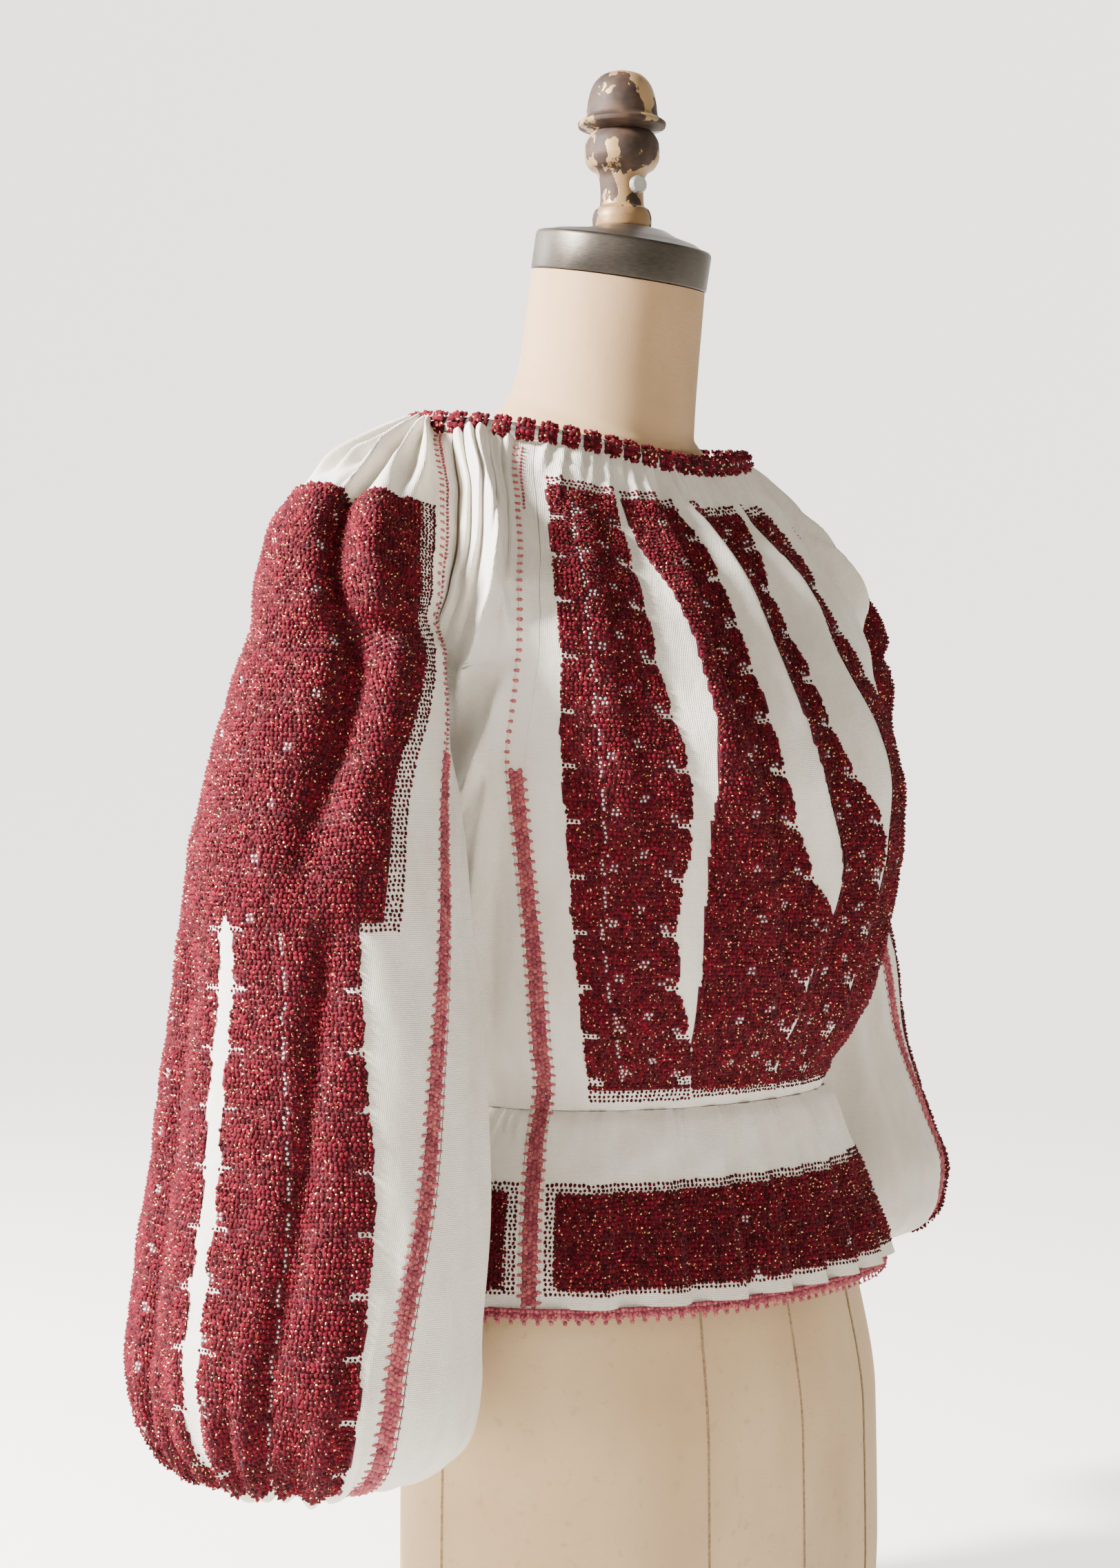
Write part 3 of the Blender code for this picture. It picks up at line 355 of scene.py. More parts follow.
def sleeve_frame(row, tube):
    """Centre, outward and backward vectors of a sleeve's oval, with its seam angles in degrees."""
    row = np.asarray(row, float)
    drop = read(HEAD, "drop", row)
    half = read(HEAD, "half_arc", row)
    off_body = (SEAM_STAND * ease((row - 3) / 2))[..., None]
    front_angle, back_angle = read(SEAMS, "sleeve_front", drop), read(SEAMS, "sleeve_back", drop)
    front = torso_point(front_angle, drop) + torso_normal(front_angle, drop) * off_body
    back = torso_point(back_angle, drop) + torso_normal(back_angle, drop) * off_body
    ridge = np.stack([read(HEAD, name, row) for name in ("ridge_x", "ridge_y", "ridge_z")], -1)
    middle = (front + back) / 2
    cosine = np.cos(np.radians(half))[..., None]
    head_centre = middle - (ridge - middle) * cosine / (1 - cosine)
    head_out = ridge - head_centre
    head_back = (back - front) / 2 / np.sin(np.radians(half))[..., None]
    centre = np.stack([read(tube, name, row) for name in ("x", "y", "z")], -1)
    flat = np.zeros(row.shape)
    out = np.stack([read(tube, "reach_x", row), flat, flat], -1)
    rear = np.stack([flat, read(tube, "reach_y", row), flat], -1)
    blend = ease(row - 5)
    start = np.where(row < 5, -half, read(tube, "start", row))
    end = np.where(row < 5, half, read(tube, "end", row))
    mix = blend[..., None]
    return (head_centre + (centre - head_centre) * mix, head_out + (out - head_out) * mix,
            head_back + (rear - head_back) * mix, start, end)


def sleeve_point(angle, row, tube):
    centre, out, rear, start, end = sleeve_frame(row, tube)
    turn = np.radians(angle)[..., None]
    return centre + out * np.cos(turn) + rear * np.sin(turn)


# Pitch of the stitches and length of one repeat of their chart.
PITCH, REPEAT = 2.4, 29.0


class Surface:
    """A face of the cloth: at(a, v) gives its points; side is -1 where the right mirrors the left."""

    def __init__(self, at, step_a, step_v, side=1):
        self.at, self.step_a, self.step_v, self.side = at, step_a, step_v, side

    def lay(self, a, v, lift=0.0):
        """Points moved out by lift, with the outward normal and the direction across."""
        a, v = np.broadcast_arrays(np.asarray(a, float), np.asarray(v, float))
        across = self.at(a + self.step_a, v) - self.at(a - self.step_a, v)
        down = self.at(a, v + self.step_v) - self.at(a, v - self.step_v)
        normal = unit(np.cross(down, across))
        points = self.at(a, v) + normal * np.asarray(lift, float)[..., None]
        mirror = np.array([self.side, 1, 1])
        return points * mirror, normal * mirror, unit(across) * mirror


def wave(a, pitch, sharp=1.0):
    """A rounded zigzag between 0 and 1."""
    return (0.5 - 0.5 * np.cos(2 * np.pi * np.asarray(a) / pitch)) ** sharp


def puff(a, pitch):
    """Rounded crests with narrow valleys between them, from 0 to 1."""
    return np.abs(np.sin(np.pi * np.asarray(a) / pitch)) ** 0.75


def drift(a, v, seed):
    """A slow uneven wander between -1 and 1, the same on every run."""
    rng = np.random.default_rng(seed)
    total = 0
    for octave in range(1, 5):
        turn_a, turn_v = rng.uniform(0.6, 1.6, 2).tolist()
        phase = rng.uniform(0, 6.3)
        total = total + np.sin(a * turn_a * octave + v * turn_v * octave * 5 + phase) / octave
    return total / 2.1


def creases(a, v, rows):
    """Height of listed creases: each runs through three places with a soft and a steep flank."""
    height = 0 * (a + v)
    for v0, v1, v2, a0, a1, a2, soft, steep, rise in zip(*rows.values()):
        middle = glide(v, np.array([v0, v1, v2]), np.array([a0, a1, a2]))
        past = a - middle
        flank = np.exp(-(past / np.where(past < 0, soft, steep)) ** 2)
        reach = ease((v - v0) / (0.35 * (v1 - v0)) + 0.15) * ease((v2 - v) / (0.6 * (v2 - v1)))
        height = height + rise * flank * reach * (v > v0) * (v < v2)
    return height


def make_mesh(name, points, faces, material, side=1):
    mesh = bpy.data.meshes.new(name)
    faces = np.asarray(faces)
    if side < 0:
        faces = faces[:, ::-1]
    mesh.from_pydata((np.asarray(points).reshape(-1, 3) * MM + SHIFT).tolist(), [], faces.tolist())
    mesh.shade_smooth()
    mesh.materials.append(material)
    thing = bpy.data.objects.new(name, mesh)
    bpy.context.scene.collection.objects.link(thing)
    return thing


def paint(thing, name, colours):
    """A colour for every point of a mesh."""
    layer = thing.data.color_attributes.new(name=name, type="FLOAT_COLOR", domain="POINT")
    layer.data.foreach_set("color", np.asarray(colours, np.float32).ravel())


def grid_faces(rows, columns, closed=False):
    r, c = np.meshgrid(np.arange(rows - 1), np.arange(columns if closed else columns - 1), indexing="ij")
    r, c = r.ravel(), c.ravel()
    n = (c + 1) % columns
    return np.stack([r * columns + c, (r + 1) * columns + c, (r + 1) * columns + n, r * columns + n], 1)


def cut_uv(thing, points):
    """Lays the grid out flat in metres, so that the weave keeps its scale."""
    along = np.zeros(points.shape[:2])
    along[1:] = np.cumsum(np.linalg.norm(np.diff(points, axis=0), axis=-1), 0)
    across = np.zeros(points.shape[:2])
    across[:, 1:] = np.cumsum(np.linalg.norm(np.diff(points, axis=1), axis=-1), 1)
    flat = np.stack([across, along.mean(1, keepdims=True) + 0 * across], -1).reshape(-1, 2) * MM
    loops = np.empty(len(thing.data.loops), np.int32)
    thing.data.loops.foreach_get("vertex_index", loops)
    layer = thing.data.uv_layers.new(name="cut")
    layer.data.foreach_set("uv", flat[loops].astype(np.float32).ravel())


def sheet_mesh(name, points, faces, material, side=1, worked=None):
    """A sheet through a grid of points; worked is 1 where wool covers it."""
    thing = make_mesh(name, points, faces, material, side)
    cover = np.zeros(points.shape[:2]) if worked is None else worked
    paint(thing, "worked", np.repeat(cover.reshape(-1, 1), 4, 1))
    cut_uv(thing, points)
    return thing


def cloth(name, surface, a, v, worked=None, lift=0.3):
    """A cotton sheet over a grid of places on a surface."""
    points = surface.lay(a, v, lift)[0]
    return sheet_mesh(name, points, grid_faces(*points.shape[:2]), COTTON, surface.side, worked)


def grid(rows, across):
    """Places at each row and each share or angle across, as two arrays."""
    return np.repeat(across[None], len(rows), 0), np.repeat(rows[:, None], len(across), 1)


def grid_between(low, high, v, columns):
    """Places between two lines, evenly spread across."""
    a = low(v)[:, None] + (high(v) - low(v))[:, None] * np.linspace(0, 1, columns)
    return a, np.repeat(v[:, None], columns, 1)


def strip_grid(centre, half, v):
    """Places on a strip of the given half width."""
    a = centre(v)[:, None] + half(v)[:, None] * np.linspace(-1, 1, STRIP_COLUMNS)
    return a, np.repeat(v[:, None], STRIP_COLUMNS, 1)


def knobs(name, points, normals, across, length, width, height, colours, material, rng, lean=0.35):
    """Many small raised loops of yarn in one mesh; colours holds red, green, blue and glint for each."""
    count = len(points)
    turn = np.arange(6) * np.pi / 3
    twist = rng.uniform(-0.5, 0.5, count)
    down = np.cross(normals, across)
    one = across * np.cos(twist)[:, None] + down * np.sin(twist)[:, None]
    two = down * np.cos(twist)[:, None] - across * np.sin(twist)[:, None]
    length, width, height = (np.broadcast_to(np.asarray(x, float), count) for x in (length, width, height))
    ring = (points[:, None] + one[:, None] * (np.cos(turn) * width[:, None] / 2)[..., None]
            + two[:, None] * (np.sin(turn) * length[:, None] / 2)[..., None] - normals[:, None] * 0.25)
    tip = points + normals * height[:, None]
    tip = tip + one * (rng.uniform(-lean, lean, count) * width)[:, None]
    tip = tip + two * (rng.uniform(-lean, lean, count) * length)[:, None]
    vertices = np.concatenate([ring, tip[:, None]], 1).reshape(-1, 3)
    k = np.arange(6)
    pattern = np.stack([k, (k + 1) % 6, np.full(6, 6)], 1)
    faces = (pattern[None] + np.arange(count)[:, None, None] * 7).reshape(-1, 3)
    thing = make_mesh(name, vertices, faces, material)
    shade = np.repeat(colours[:, None], 7, 1)
    # The ring round each loop's foot is painted at half its colour: painted shade in the crevices between
    # loops.
    shade[:, :6, :3] *= 0.5
    shade[:, :, 3] = 0
    bright = colours[:, 3] > 0
    chosen = rng.integers(0, 6, count)
    spots = np.where(bright)[0]
    shade[spots, chosen[spots], 3] = rng.uniform(0.7, 1.0, len(spots))
    paint(thing, "yarn", shade.reshape(-1, 4))
    return thing


GOLD = (0.95, 0.52, 0.20)
DEEP = np.array([0.040, 0.0009, 0.0038])
LIGHT = np.array([0.19, 0.0050, 0.018])
WHITE = np.array([0.80, 0.76, 0.70])
ROSE_DEEP = np.array([0.26, 0.045, 0.075])
ROSE_LIGHT = np.array([0.56, 0.15, 0.155])


def yarn_colours(count, rng, dark, light, glints):
    """Red, green and blue of each loop, and 1 where it carries a gold glint."""
    mix = rng.beta(1.6, 1.9, (count, 1))
    colours = dark + (light - dark) * mix
    return np.concatenate([colours, (rng.random((count, 1)) < glints).astype(float)], 1)


# A stitched field and its chart

NONE, FULL, DOT, BEAD, MARK, PALE = range(6)
STITCH_SIZE = {FULL: 1.0, DOT: 0.78, BEAD: 0.88, MARK: 0.74, PALE: 0.66}
SCALLOP_DEPTH, COMB_LENGTH, COMB_PITCHES = 3.6, 8.5, 0.6
# Pale marks in the field, by their share of its width and how many rows they are moved.
PALE_MARKS = ((0.36, 3), (0.62, 6), (0.84, 2))
MARK_MIN_WIDTH, LADDER_MIN_WIDTH = 26, 20
WANDER = 0.13


def scallops(y, pitch):
    """How far the scalloped edge cuts in at each y, and where the teeth of its comb are."""
    part = (y / REPEAT) % 1
    lobe = SCALLOP_DEPTH * (1 - np.sqrt(np.clip(1 - (2 * part - 1) ** 2, 0, 1)))
    return lobe, np.minimum(part, 1 - part) * REPEAT < COMB_PITCHES * pitch


class Field:
    """A stitched area between two lines on a surface, counted in rows and in stitches across.

    edges holds s for a scalloped edge and l for a ladder of dots, left and right; top and foot are the
    rows of dots above and below, foot_reach how far those below go, and ladder a line of pale marks.
    """

    def __init__(self, surface, left, right, start, stop, edges="ss", top=3, foot=3, ladder=0,
                 gap=None, foot_reach=1e3, rim=4.2):
        self.surface, self.left, self.right, self.start, self.stop = surface, left, right, start, stop
        self.edges, self.top, self.foot, self.ladder, self.gap = edges, top, foot, ladder, gap
        self.foot_reach, self.rim, self.pitch = foot_reach, rim, PITCH
        self.fine = np.linspace(start, stop, 400)
        middle = (left(self.fine) + right(self.fine)) / 2
        self.down = lengths_along(surface.at(middle, self.fine))
        self.length = self.down[-1]
        self.rows = int(self.length / self.pitch)

    def across(self, v):
        """Lengths across the field at each v, from the left line, at evenly spread places."""
        share = np.linspace(0, 1, 48)
        low, high = self.left(v)[:, None], self.right(v)[:, None]
        a = low + (high - low) * share
        steps = np.linalg.norm(np.diff(self.surface.at(a, np.repeat(v[:, None], 48, 1)), axis=1), axis=-1)
        return a, np.concatenate([np.zeros((len(v), 1)), np.cumsum(steps, 1)], 1)

    def chart(self, x, width, y):
        """What the place x across and y down holds."""
        state = np.full(x.shape, FULL)
        lobe, comb = scallops(y, self.pitch)
        for edge, from_edge in zip(self.edges, (x, width - x)):
            if edge == "s":
                state[from_edge < lobe] = NONE
                state[comb & (from_edge < COMB_LENGTH)] = MARK
            if edge == "l":
                state[from_edge < self.rim * self.pitch] = DOT
                state[from_edge < self.pitch] = BEAD
        count = np.floor(x / self.pitch)
        row = np.floor(y / self.pitch)
        per = round(REPEAT / self.pitch)
        for share, shift in PALE_MARKS:
            place = np.floor(share * width / self.pitch)
            mark = (np.abs(count - place - 0.5) < 1) & ((row + shift) % per < 2) & (width > MARK_MIN_WIDTH)
            state[mark & (state == FULL)] = PALE
        if self.ladder:
            place = np.floor(self.ladder * width / self.pitch)
            line = (count == place) & (row % 7 < 5) & (width > LADDER_MIN_WIDTH)
            state[line & (state == FULL)] = PALE
        if self.gap:
            self.gap(self, state, x, width, y)
        state[y < self.top * self.pitch] = DOT
        below = (self.length - y) < self.foot * self.pitch
        state[below & (x < self.foot_reach)] = DOT
        state[(y < 0.8 * self.pitch) & (self.top > 0)] = BEAD
        return state

    def stitches(self, rng):
        """Places of the stitches: a, v, state and how far the motif raises each one."""
        y = (np.arange(self.rows) + 0.5) * self.pitch
        v = np.interp(y, self.down, self.fine)
        a, lengths = self.across(v)
        out = []
        for i in range(self.rows):
            width = lengths[i, -1]
            count = int(width / self.pitch)
            if count < 1:
                continue
            x = (np.arange(count) + 0.5 + 0.25 * (i % 2)) * width / (count + 0.25)
            state = self.chart(x, np.full(count, width), np.full(count, y[i]))
            x = x + rng.uniform(-WANDER, WANDER, count) * self.pitch * (state == FULL)
            lattice = np.sin(np.pi * (x / REPEAT * 1.3 + 0.5 * (y[i] // REPEAT)))
            motif = np.abs(np.sin(np.pi * y[i] / REPEAT) * lattice)
            row = np.stack([np.interp(x, lengths[i], a[i]), np.full(count, v[i]), state, motif ** 0.5], 1)
            out.append(row[state > 0])
        out = np.concatenate(out)
        wander = rng.uniform(-WANDER, WANDER, len(out))
        out[:, 1] += wander * self.pitch * (self.stop - self.start) / self.length
        return out

    def cover(self, a, v):
        """1 on the cloth where wool covers it, over a grid of places with level rows."""
        rows = v[:, 0]
        inside = (rows > self.start) & (rows < self.stop)
        cover = np.zeros(a.shape)
        if not inside.any():
            return cover
        knots, lengths = self.across(rows[inside])
        y = np.interp(rows[inside], self.fine, self.down)
        for k, i in enumerate(np.where(inside)[0]):
            width = lengths[k, -1]
            x = np.interp(a[i], knots[k], lengths[k], left=-1, right=-1)
            state = self.chart(x, np.full(len(x), width), np.full(len(x), y[k]))
            cover[i] = (x > 0) & (x < width) & ((state == FULL) | (state == PALE))
        return cover


def knit(name, surface, places, rng, glints=0.62, lift=0.35):
    """Stitches at their places, as one mesh of raised wool; each place holds a, v, state and motif."""
    scale = np.select([places[:, 2] == k for k in STITCH_SIZE], list(STITCH_SIZE.values()))
    motif = places[:, 3] * (scale == 1)
    points, normals, across = surface.lay(places[:, 0], places[:, 1], lift + motif)
    count = len(places)
    colours = yarn_colours(count, rng, DEEP, LIGHT, glints)
    # Stitches low in the motif's lattice are painted darker and raised ones lighter: painted shade in its
    # hollows and painted light on its lumps.
    colours[:, :3] *= (0.62 + 0.55 * motif)[:, None]
    colours[:, 3] *= scale == 1
    colours[places[:, 2] == PALE, :3] = WHITE
    length = PITCH * 1.22 * scale * rng.uniform(0.8, 1.2, count)
    width = PITCH * 1.05 * scale * rng.uniform(0.8, 1.15, count)
    height = PITCH * 0.55 * (0.3 + 0.7 * scale) * rng.uniform(0.6, 1.3, count)
    return knobs(name, points, normals, across, length, width, height, colours, WOOL_YARN, rng)


def stitch(name, surface, fields, seed, top=None):
    """All the stitches of some fields, below the line top(a) where there is one."""
    rng = np.random.default_rng(seed)
    places = np.concatenate([field.stitches(rng) for field in fields])
    if top:
        places = places[places[:, 1] > top(places[:, 0])]
    return knit(name, surface, places, rng)


# Materials

class Nodes:
    """A small helper that adds nodes to a material and links them."""

    def __init__(self, name, roughness, metallic=0.0):
        self.material = bpy.data.materials.new(name)
        self.material.use_nodes = True
        self.tree = self.material.node_tree
        self.shader = self.tree.nodes["Principled BSDF"]
        self.shader.inputs["Roughness"].default_value = roughness
        self.shader.inputs["Metallic"].default_value = metallic

    def add(self, kind, links=None, **values):
        node = self.tree.nodes.new(kind)
        for key, value in values.items():
            if hasattr(node, key):
                setattr(node, key, value)
            else:
                node.inputs[key.replace("_", " ")].default_value = value
        for key, source in (links or {}).items():
            self.tree.links.new(source, node.inputs[key])
        return node

    def link(self, source, socket):
        self.tree.links.new(source, self.shader.inputs[socket])

    def noise(self, scale, detail=3.0, stretch=None, where="Object"):
        place = self.add("ShaderNodeTexCoord").outputs[where]
        if stretch:
            place = self.add("ShaderNodeMapping", {"Vector": place}, Scale=stretch).outputs[0]
        return self.add("ShaderNodeTexNoise", {"Vector": place}, Scale=scale, Detail=detail).outputs["Fac"]

    def ramp(self, source, *stops):
        node = self.add("ShaderNodeValToRGB", {"Fac": source})
        ramp = node.color_ramp
        while len(ramp.elements) < len(stops):
            ramp.elements.new(0.5)
        for element, (place, colour) in zip(ramp.elements, stops):
            element.position = place
            element.color = (*colour, 1) if len(colour) == 3 else (colour[0],) * 3 + (1,)
        return node.outputs["Color"]

    def mix(self, share, first, second, blend="MIX"):
        node = self.add("ShaderNodeMix", data_type="RGBA", blend_type=blend)
        for key, value in ((0, share), (6, first), (7, second)):
            if isinstance(value, (int, float)):
                node.inputs[key].default_value = value
            elif isinstance(value, tuple):
                node.inputs[key].default_value = (*value, 1)
            else:
                self.tree.links.new(value, node.inputs[key])
        return node.outputs[2]

    def sum(self, *terms):
        """Adds heights, each given as (source, weight)."""
        total = None
        for source, weight in terms:
            node = self.add("ShaderNodeMath", {0: source}, operation="MULTIPLY")
            node.inputs[1].default_value = weight
            if total is None:
                total = node.outputs[0]
                continue
            total = self.add("ShaderNodeMath", {0: total, 1: node.outputs[0]}, operation="ADD").outputs[0]
        return total

    def weave(self, scale, distortion):
        """Crossed threads on the flat cut, along and across."""
        cut = self.add("ShaderNodeUVMap", uv_map="cut").outputs[0]
        return [self.add("ShaderNodeTexWave", {"Vector": cut}, bands_direction=direction, Scale=scale,
                         Distortion=distortion, Detail=2.0).outputs["Fac"] for direction in "XY"]

    def bump(self, height, strength, distance):
        node = self.add("ShaderNodeBump", {"Height": height}, Strength=strength, Distance=distance)
        self.link(node.outputs[0], "Normal")


def cotton_material():
    """Aged plain-weave cotton, dark with wool where it is worked over."""
    m = Nodes("aged white cotton", 0.88)
    threads = m.weave(320.0, 1.5)
    slub = m.noise(90.0, 4.0, (1, 1, 0.2))
    crumple = m.noise(38.0, 3.0, (1, 1, 0.5))
    patch = m.noise(6.0, 3.0)
    colour = m.ramp(patch, (0.35, (0.61, 0.555, 0.475)), (0.65, (0.71, 0.665, 0.60)))
    uneven = m.ramp(slub, (0.3, (0.56, 0.505, 0.43)), (0.7, (0.74, 0.70, 0.635)))
    colour = m.mix(0.35, colour, uneven)
    worked = m.add("ShaderNodeAttribute", attribute_name="worked").outputs["Fac"]
    wool = m.ramp(m.noise(900.0, 2.0), (0.3, (0.035, 0.002, 0.006)), (0.7, (0.12, 0.008, 0.02)))
    cover = m.ramp(worked, (0.42, (0,)), (0.58, (1,)))
    m.link(m.mix(cover, colour, wool), "Base Color")
    m.bump(m.sum((threads[0], 0.12), (threads[1], 0.12), (slub, 0.5), (crumple, 3.2)), 0.6, 0.0026)
    m.shader.inputs["Specular IOR Level"].default_value = 0.2
    m.shader.inputs["Sheen Weight"].default_value = 0.08
    m.shader.inputs["Sheen Roughness"].default_value = 0.6
    return m.material


def yarn_material(name, roughness, sheen):
    """Loops of yarn in the colours painted on their points, which carry painted shade and light as well as
    the yarn's own tones, with fine fibres and shiny gold thread.
    """
    m = Nodes(name, roughness)
    yarn = m.add("ShaderNodeAttribute", attribute_name="yarn")
    fibre = m.noise(1400.0, 3.0)
    shade = m.ramp(fibre, (0.3, (0.55, 0.55, 0.55)), (0.7, (1.35, 1.35, 1.35)))
    wool = m.mix(1.0, yarn.outputs["Color"], shade, "MULTIPLY")
    glint = m.ramp(yarn.outputs["Alpha"], (0.45, (0,)), (0.55, (1,)))
    m.link(m.mix(glint, wool, GOLD), "Base Color")
    m.link(m.ramp(glint, (0.0, (0,)), (1.0, (0.6,))), "Metallic")
    m.link(m.ramp(glint, (0.0, (roughness,)), (1.0, (0.35,))), "Roughness")
    m.bump(fibre, 0.5, 0.0006)
    m.shader.inputs["Specular IOR Level"].default_value = 0.12
    m.shader.inputs["Sheen Weight"].default_value = sheen
    m.shader.inputs["Sheen Roughness"].default_value = 0.45
    m.shader.inputs["Sheen Tint"].default_value = (0.9, 0.45, 0.5, 1)
    return m.material


def linen_material():
    """Aged canvas of the form, stained and darker towards the neck."""
    m = Nodes("aged form canvas", 0.82)
    threads = m.weave(420.0, 1.0)
    broad = m.noise(3.2, 3.0)
    stain = m.noise(9.0, 5.0, (1, 1, 0.45))
    speck = m.noise(160.0, 4.0)
    place = m.add("ShaderNodeTexCoord").outputs["Object"]
    height = m.add("ShaderNodeMapRange", {"Value": m.add("ShaderNodeSeparateXYZ", {0: place}).outputs["Z"]})
    for name, value in (("From Min", 0.58), ("From Max", 0.70), ("To Min", 0.0), ("To Max", 0.75)):
        height.inputs[name].default_value = value
    colour = m.ramp(broad, (0.32, (0.43, 0.285, 0.150)), (0.68, (0.60, 0.44, 0.265)))
    colour = m.mix(m.ramp(stain, (0.42, (0,)), (0.70, (0.55,))), colour, (0.30, 0.17, 0.078))
    colour = m.mix(m.ramp(speck, (0.60, (0,)), (0.72, (0.35,))), colour, (0.30, 0.20, 0.115))
    aged = m.ramp(stain, (0.38, (0.35, 0.21, 0.10)), (0.66, (0.21, 0.108, 0.047)))
    colour = m.mix(height.outputs["Result"], colour, aged)
    m.link(colour, "Base Color")
    m.bump(m.sum((threads[0], 0.1), (threads[1], 0.1), (speck, 0.3), (stain, 1.0)), 0.3, 0.0015)
    return m.material


def seam_material():
    m = Nodes("form seam thread", 0.85)
    m.link(m.ramp(m.noise(700.0), (0.35, (0.17, 0.10, 0.05)), (0.65, (0.30, 0.20, 0.11))), "Base Color")
    return m.material


def steel_material(name, dark, light, roughness):
    m = Nodes(name, roughness, 0.85)
    brush = m.noise(260.0, 3.0, (1, 1, 14))
    cloud = m.noise(16.0, 4.0)
    colour = m.ramp(cloud, (0.35, dark), (0.65, light))
    colour = m.mix(0.35, colour, m.ramp(brush, (0.35, dark), (0.65, light)))
    m.link(colour, "Base Color")
    m.link(m.ramp(cloud, (0.3, (roughness - 0.08,)), (0.7, (roughness + 0.12,))), "Roughness")
    m.bump(m.sum((brush, 0.3), (cloud, 0.5)), 0.25, 0.0006)
    return m.material


def gilt_material():
    """Old gold paint, worn through to dark brown in ragged chips."""
    m = Nodes("chipped gold paint", 0.42)
    chips = m.noise(56.0, 5.0, (1, 1, 0.75))
    chipped = m.ramp(chips, (0.49, (0,)), (0.50, (1,)))
    gold = m.ramp(m.noise(30.0, 4.0), (0.3, (0.16, 0.088, 0.034)), (0.7, (0.34, 0.215, 0.105)))
    bare = m.ramp(m.noise(120.0, 4.0), (0.3, (0.014, 0.007, 0.005)), (0.7, (0.050, 0.026, 0.015)))
    m.link(m.mix(chipped, gold, bare), "Base Color")
    m.link(m.ramp(chipped, (0.0, (0.35,)), (1.0, (0.0,))), "Metallic")
    m.link(m.ramp(chipped, (0.0, (0.45,)), (1.0, (0.65,))), "Roughness")
    m.shader.inputs["Specular IOR Level"].default_value = 0.25
    m.bump(m.sum((chipped, -1.0), (m.noise(300.0), 0.25)), 0.6, 0.0006)
    return m.material


def glowing_stage_material():
    """Pale paper that glows as painted light, brighter on the side behind the form than on the camera's side
    of the room.
    """
    m = Nodes("glowing pale studio paper", 0.95)
    m.shader.inputs["Base Color"].default_value = (0.60, 0.585, 0.55, 1)
    m.shader.inputs["Specular IOR Level"].default_value = 0.0
    # The paper glows: its emission is painted light that fills the room, strongest behind the form.
    m.shader.inputs["Emission Color"].default_value = (1.0, 0.982, 0.93, 1)
    place = m.add("ShaderNodeTexCoord").outputs["Object"]
    shares = []
    for side, dark, bright in ROOM_GLOW_SIDES:
        along = m.add("ShaderNodeVectorMath", {0: place}, operation="DOT_PRODUCT")
        along.inputs[1].default_value = side
        share = m.add("ShaderNodeMapRange", {"Value": along.outputs["Value"]},
                      interpolation_type="SMOOTHSTEP")
        share.inputs["From Min"].default_value = dark
        share.inputs["From Max"].default_value = bright
        shares.append(share.outputs["Result"])
    both = m.add("ShaderNodeMath", {0: shares[0], 1: shares[1]}, operation="MULTIPLY").outputs[0]
    level = m.add("ShaderNodeMath", {0: both}, operation="MULTIPLY_ADD")
    level.inputs[1].default_value = ROOM_GLOW_BRIGHT - ROOM_GLOW_DIM
    level.inputs[2].default_value = ROOM_GLOW_DIM
    m.link(level.outputs[0], "Emission Strength")
    return m.material


# Directions in the room, each with the distances in metres where the paper's painted glow is dim and fully
# bright.
ROOM_GLOW_SIDES = (((0.766, 0.643, 0.0), -1.0, 0.4),
              ((-0.643, 0.766, 0.0), -3.6, -1.7))
ROOM_GLOW_DIM, ROOM_GLOW_BRIGHT = 0.05, 1.72
COTTON = cotton_material()
WOOL_YARN = yarn_material("burgundy wool", 0.85, 0.04)
ROSE_YARN = yarn_material("rose crochet cotton", 0.8, 0.04)
LINEN = linen_material()
SEAM_THREAD = seam_material()
STEEL = steel_material("dull grey steel", (0.032, 0.026, 0.021), (0.095, 0.08, 0.066), 0.40)
SCREW_STEEL = steel_material("worn screw steel", (0.24, 0.23, 0.22), (0.48, 0.46, 0.43), 0.38)
GILT = gilt_material()


def stand_for(piece, slot, *nodes, stitches=()):
    """Puts a piece in the frame in place of its solids; its stitches go with it."""
    for thing in (piece, *stitches):
        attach(thing, "root")
    if nodes:
        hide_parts(*nodes)


# Seeds of the small unevennesses; a left or right piece adds its side.
SEEDS = {"front": 11, "back": 12, "body_strip": 21, "sleeve": 51, "sleeve_front": 61, "sleeve_back": 63,
         "flounce_front": 81, "flounce_back": 82, "flounce_side": 83, "hem": 91, "neckband": 95}


def hang(sheet, slot, node, cut, held, rests_on, *wool):
    """Puts a sheet in place of its solid, with its wool; cut, held and rests_on are not used."""
    stand_for(sheet, slot, node, stitches=wool)


# Front, back and sides of the body

BODY_CREASES = table(
    "v0 v1 v2 a0 a1 a2 soft steep rise",
    (0.30, 0.62, 0.97, -25, -21, -12, 1.6, 1.1, 1.6),
    (0.42, 0.70, 0.99, 35, 31, 27, 3.0, 2.0, 1.6),
    (0.55, 0.78, 0.99, -46, -48, -50, 3.0, 2.4, 1.2))


def gathers(a, v, pitch, rise, reach):
    """Fine gathers under the neckband, each a little different in length."""
    uneven = 0.75 + 0.25 * np.sin(a * 1.7) * np.sin(a * 0.61 + 1)
    return rise * puff(a + 0.5 * np.sin(a * 0.37), pitch) * ease(1 - v / (reach * uneven))


KNIFE_PITCH, KNIFE_CREST, KNIFE_RISE, KNIFE_REACH = 4.6, 0.86, 3.0, 0.085


def knife_pleats(a, v):
    """Flat pleats set into the neckband, steep on the side away from the middle of the near half."""
    place = a / KNIFE_PITCH + 0.12 * np.sin(a * 0.9)
    part = place % 1
    shape = np.where(part < KNIFE_CREST, part / KNIFE_CREST, (1 - part) / (1 - KNIFE_CREST))
    reach = KNIFE_REACH + 0.03 * np.sin(np.floor(place) * 2.3)
    return KNIFE_RISE * shape * ease((reach - v) / 0.05)


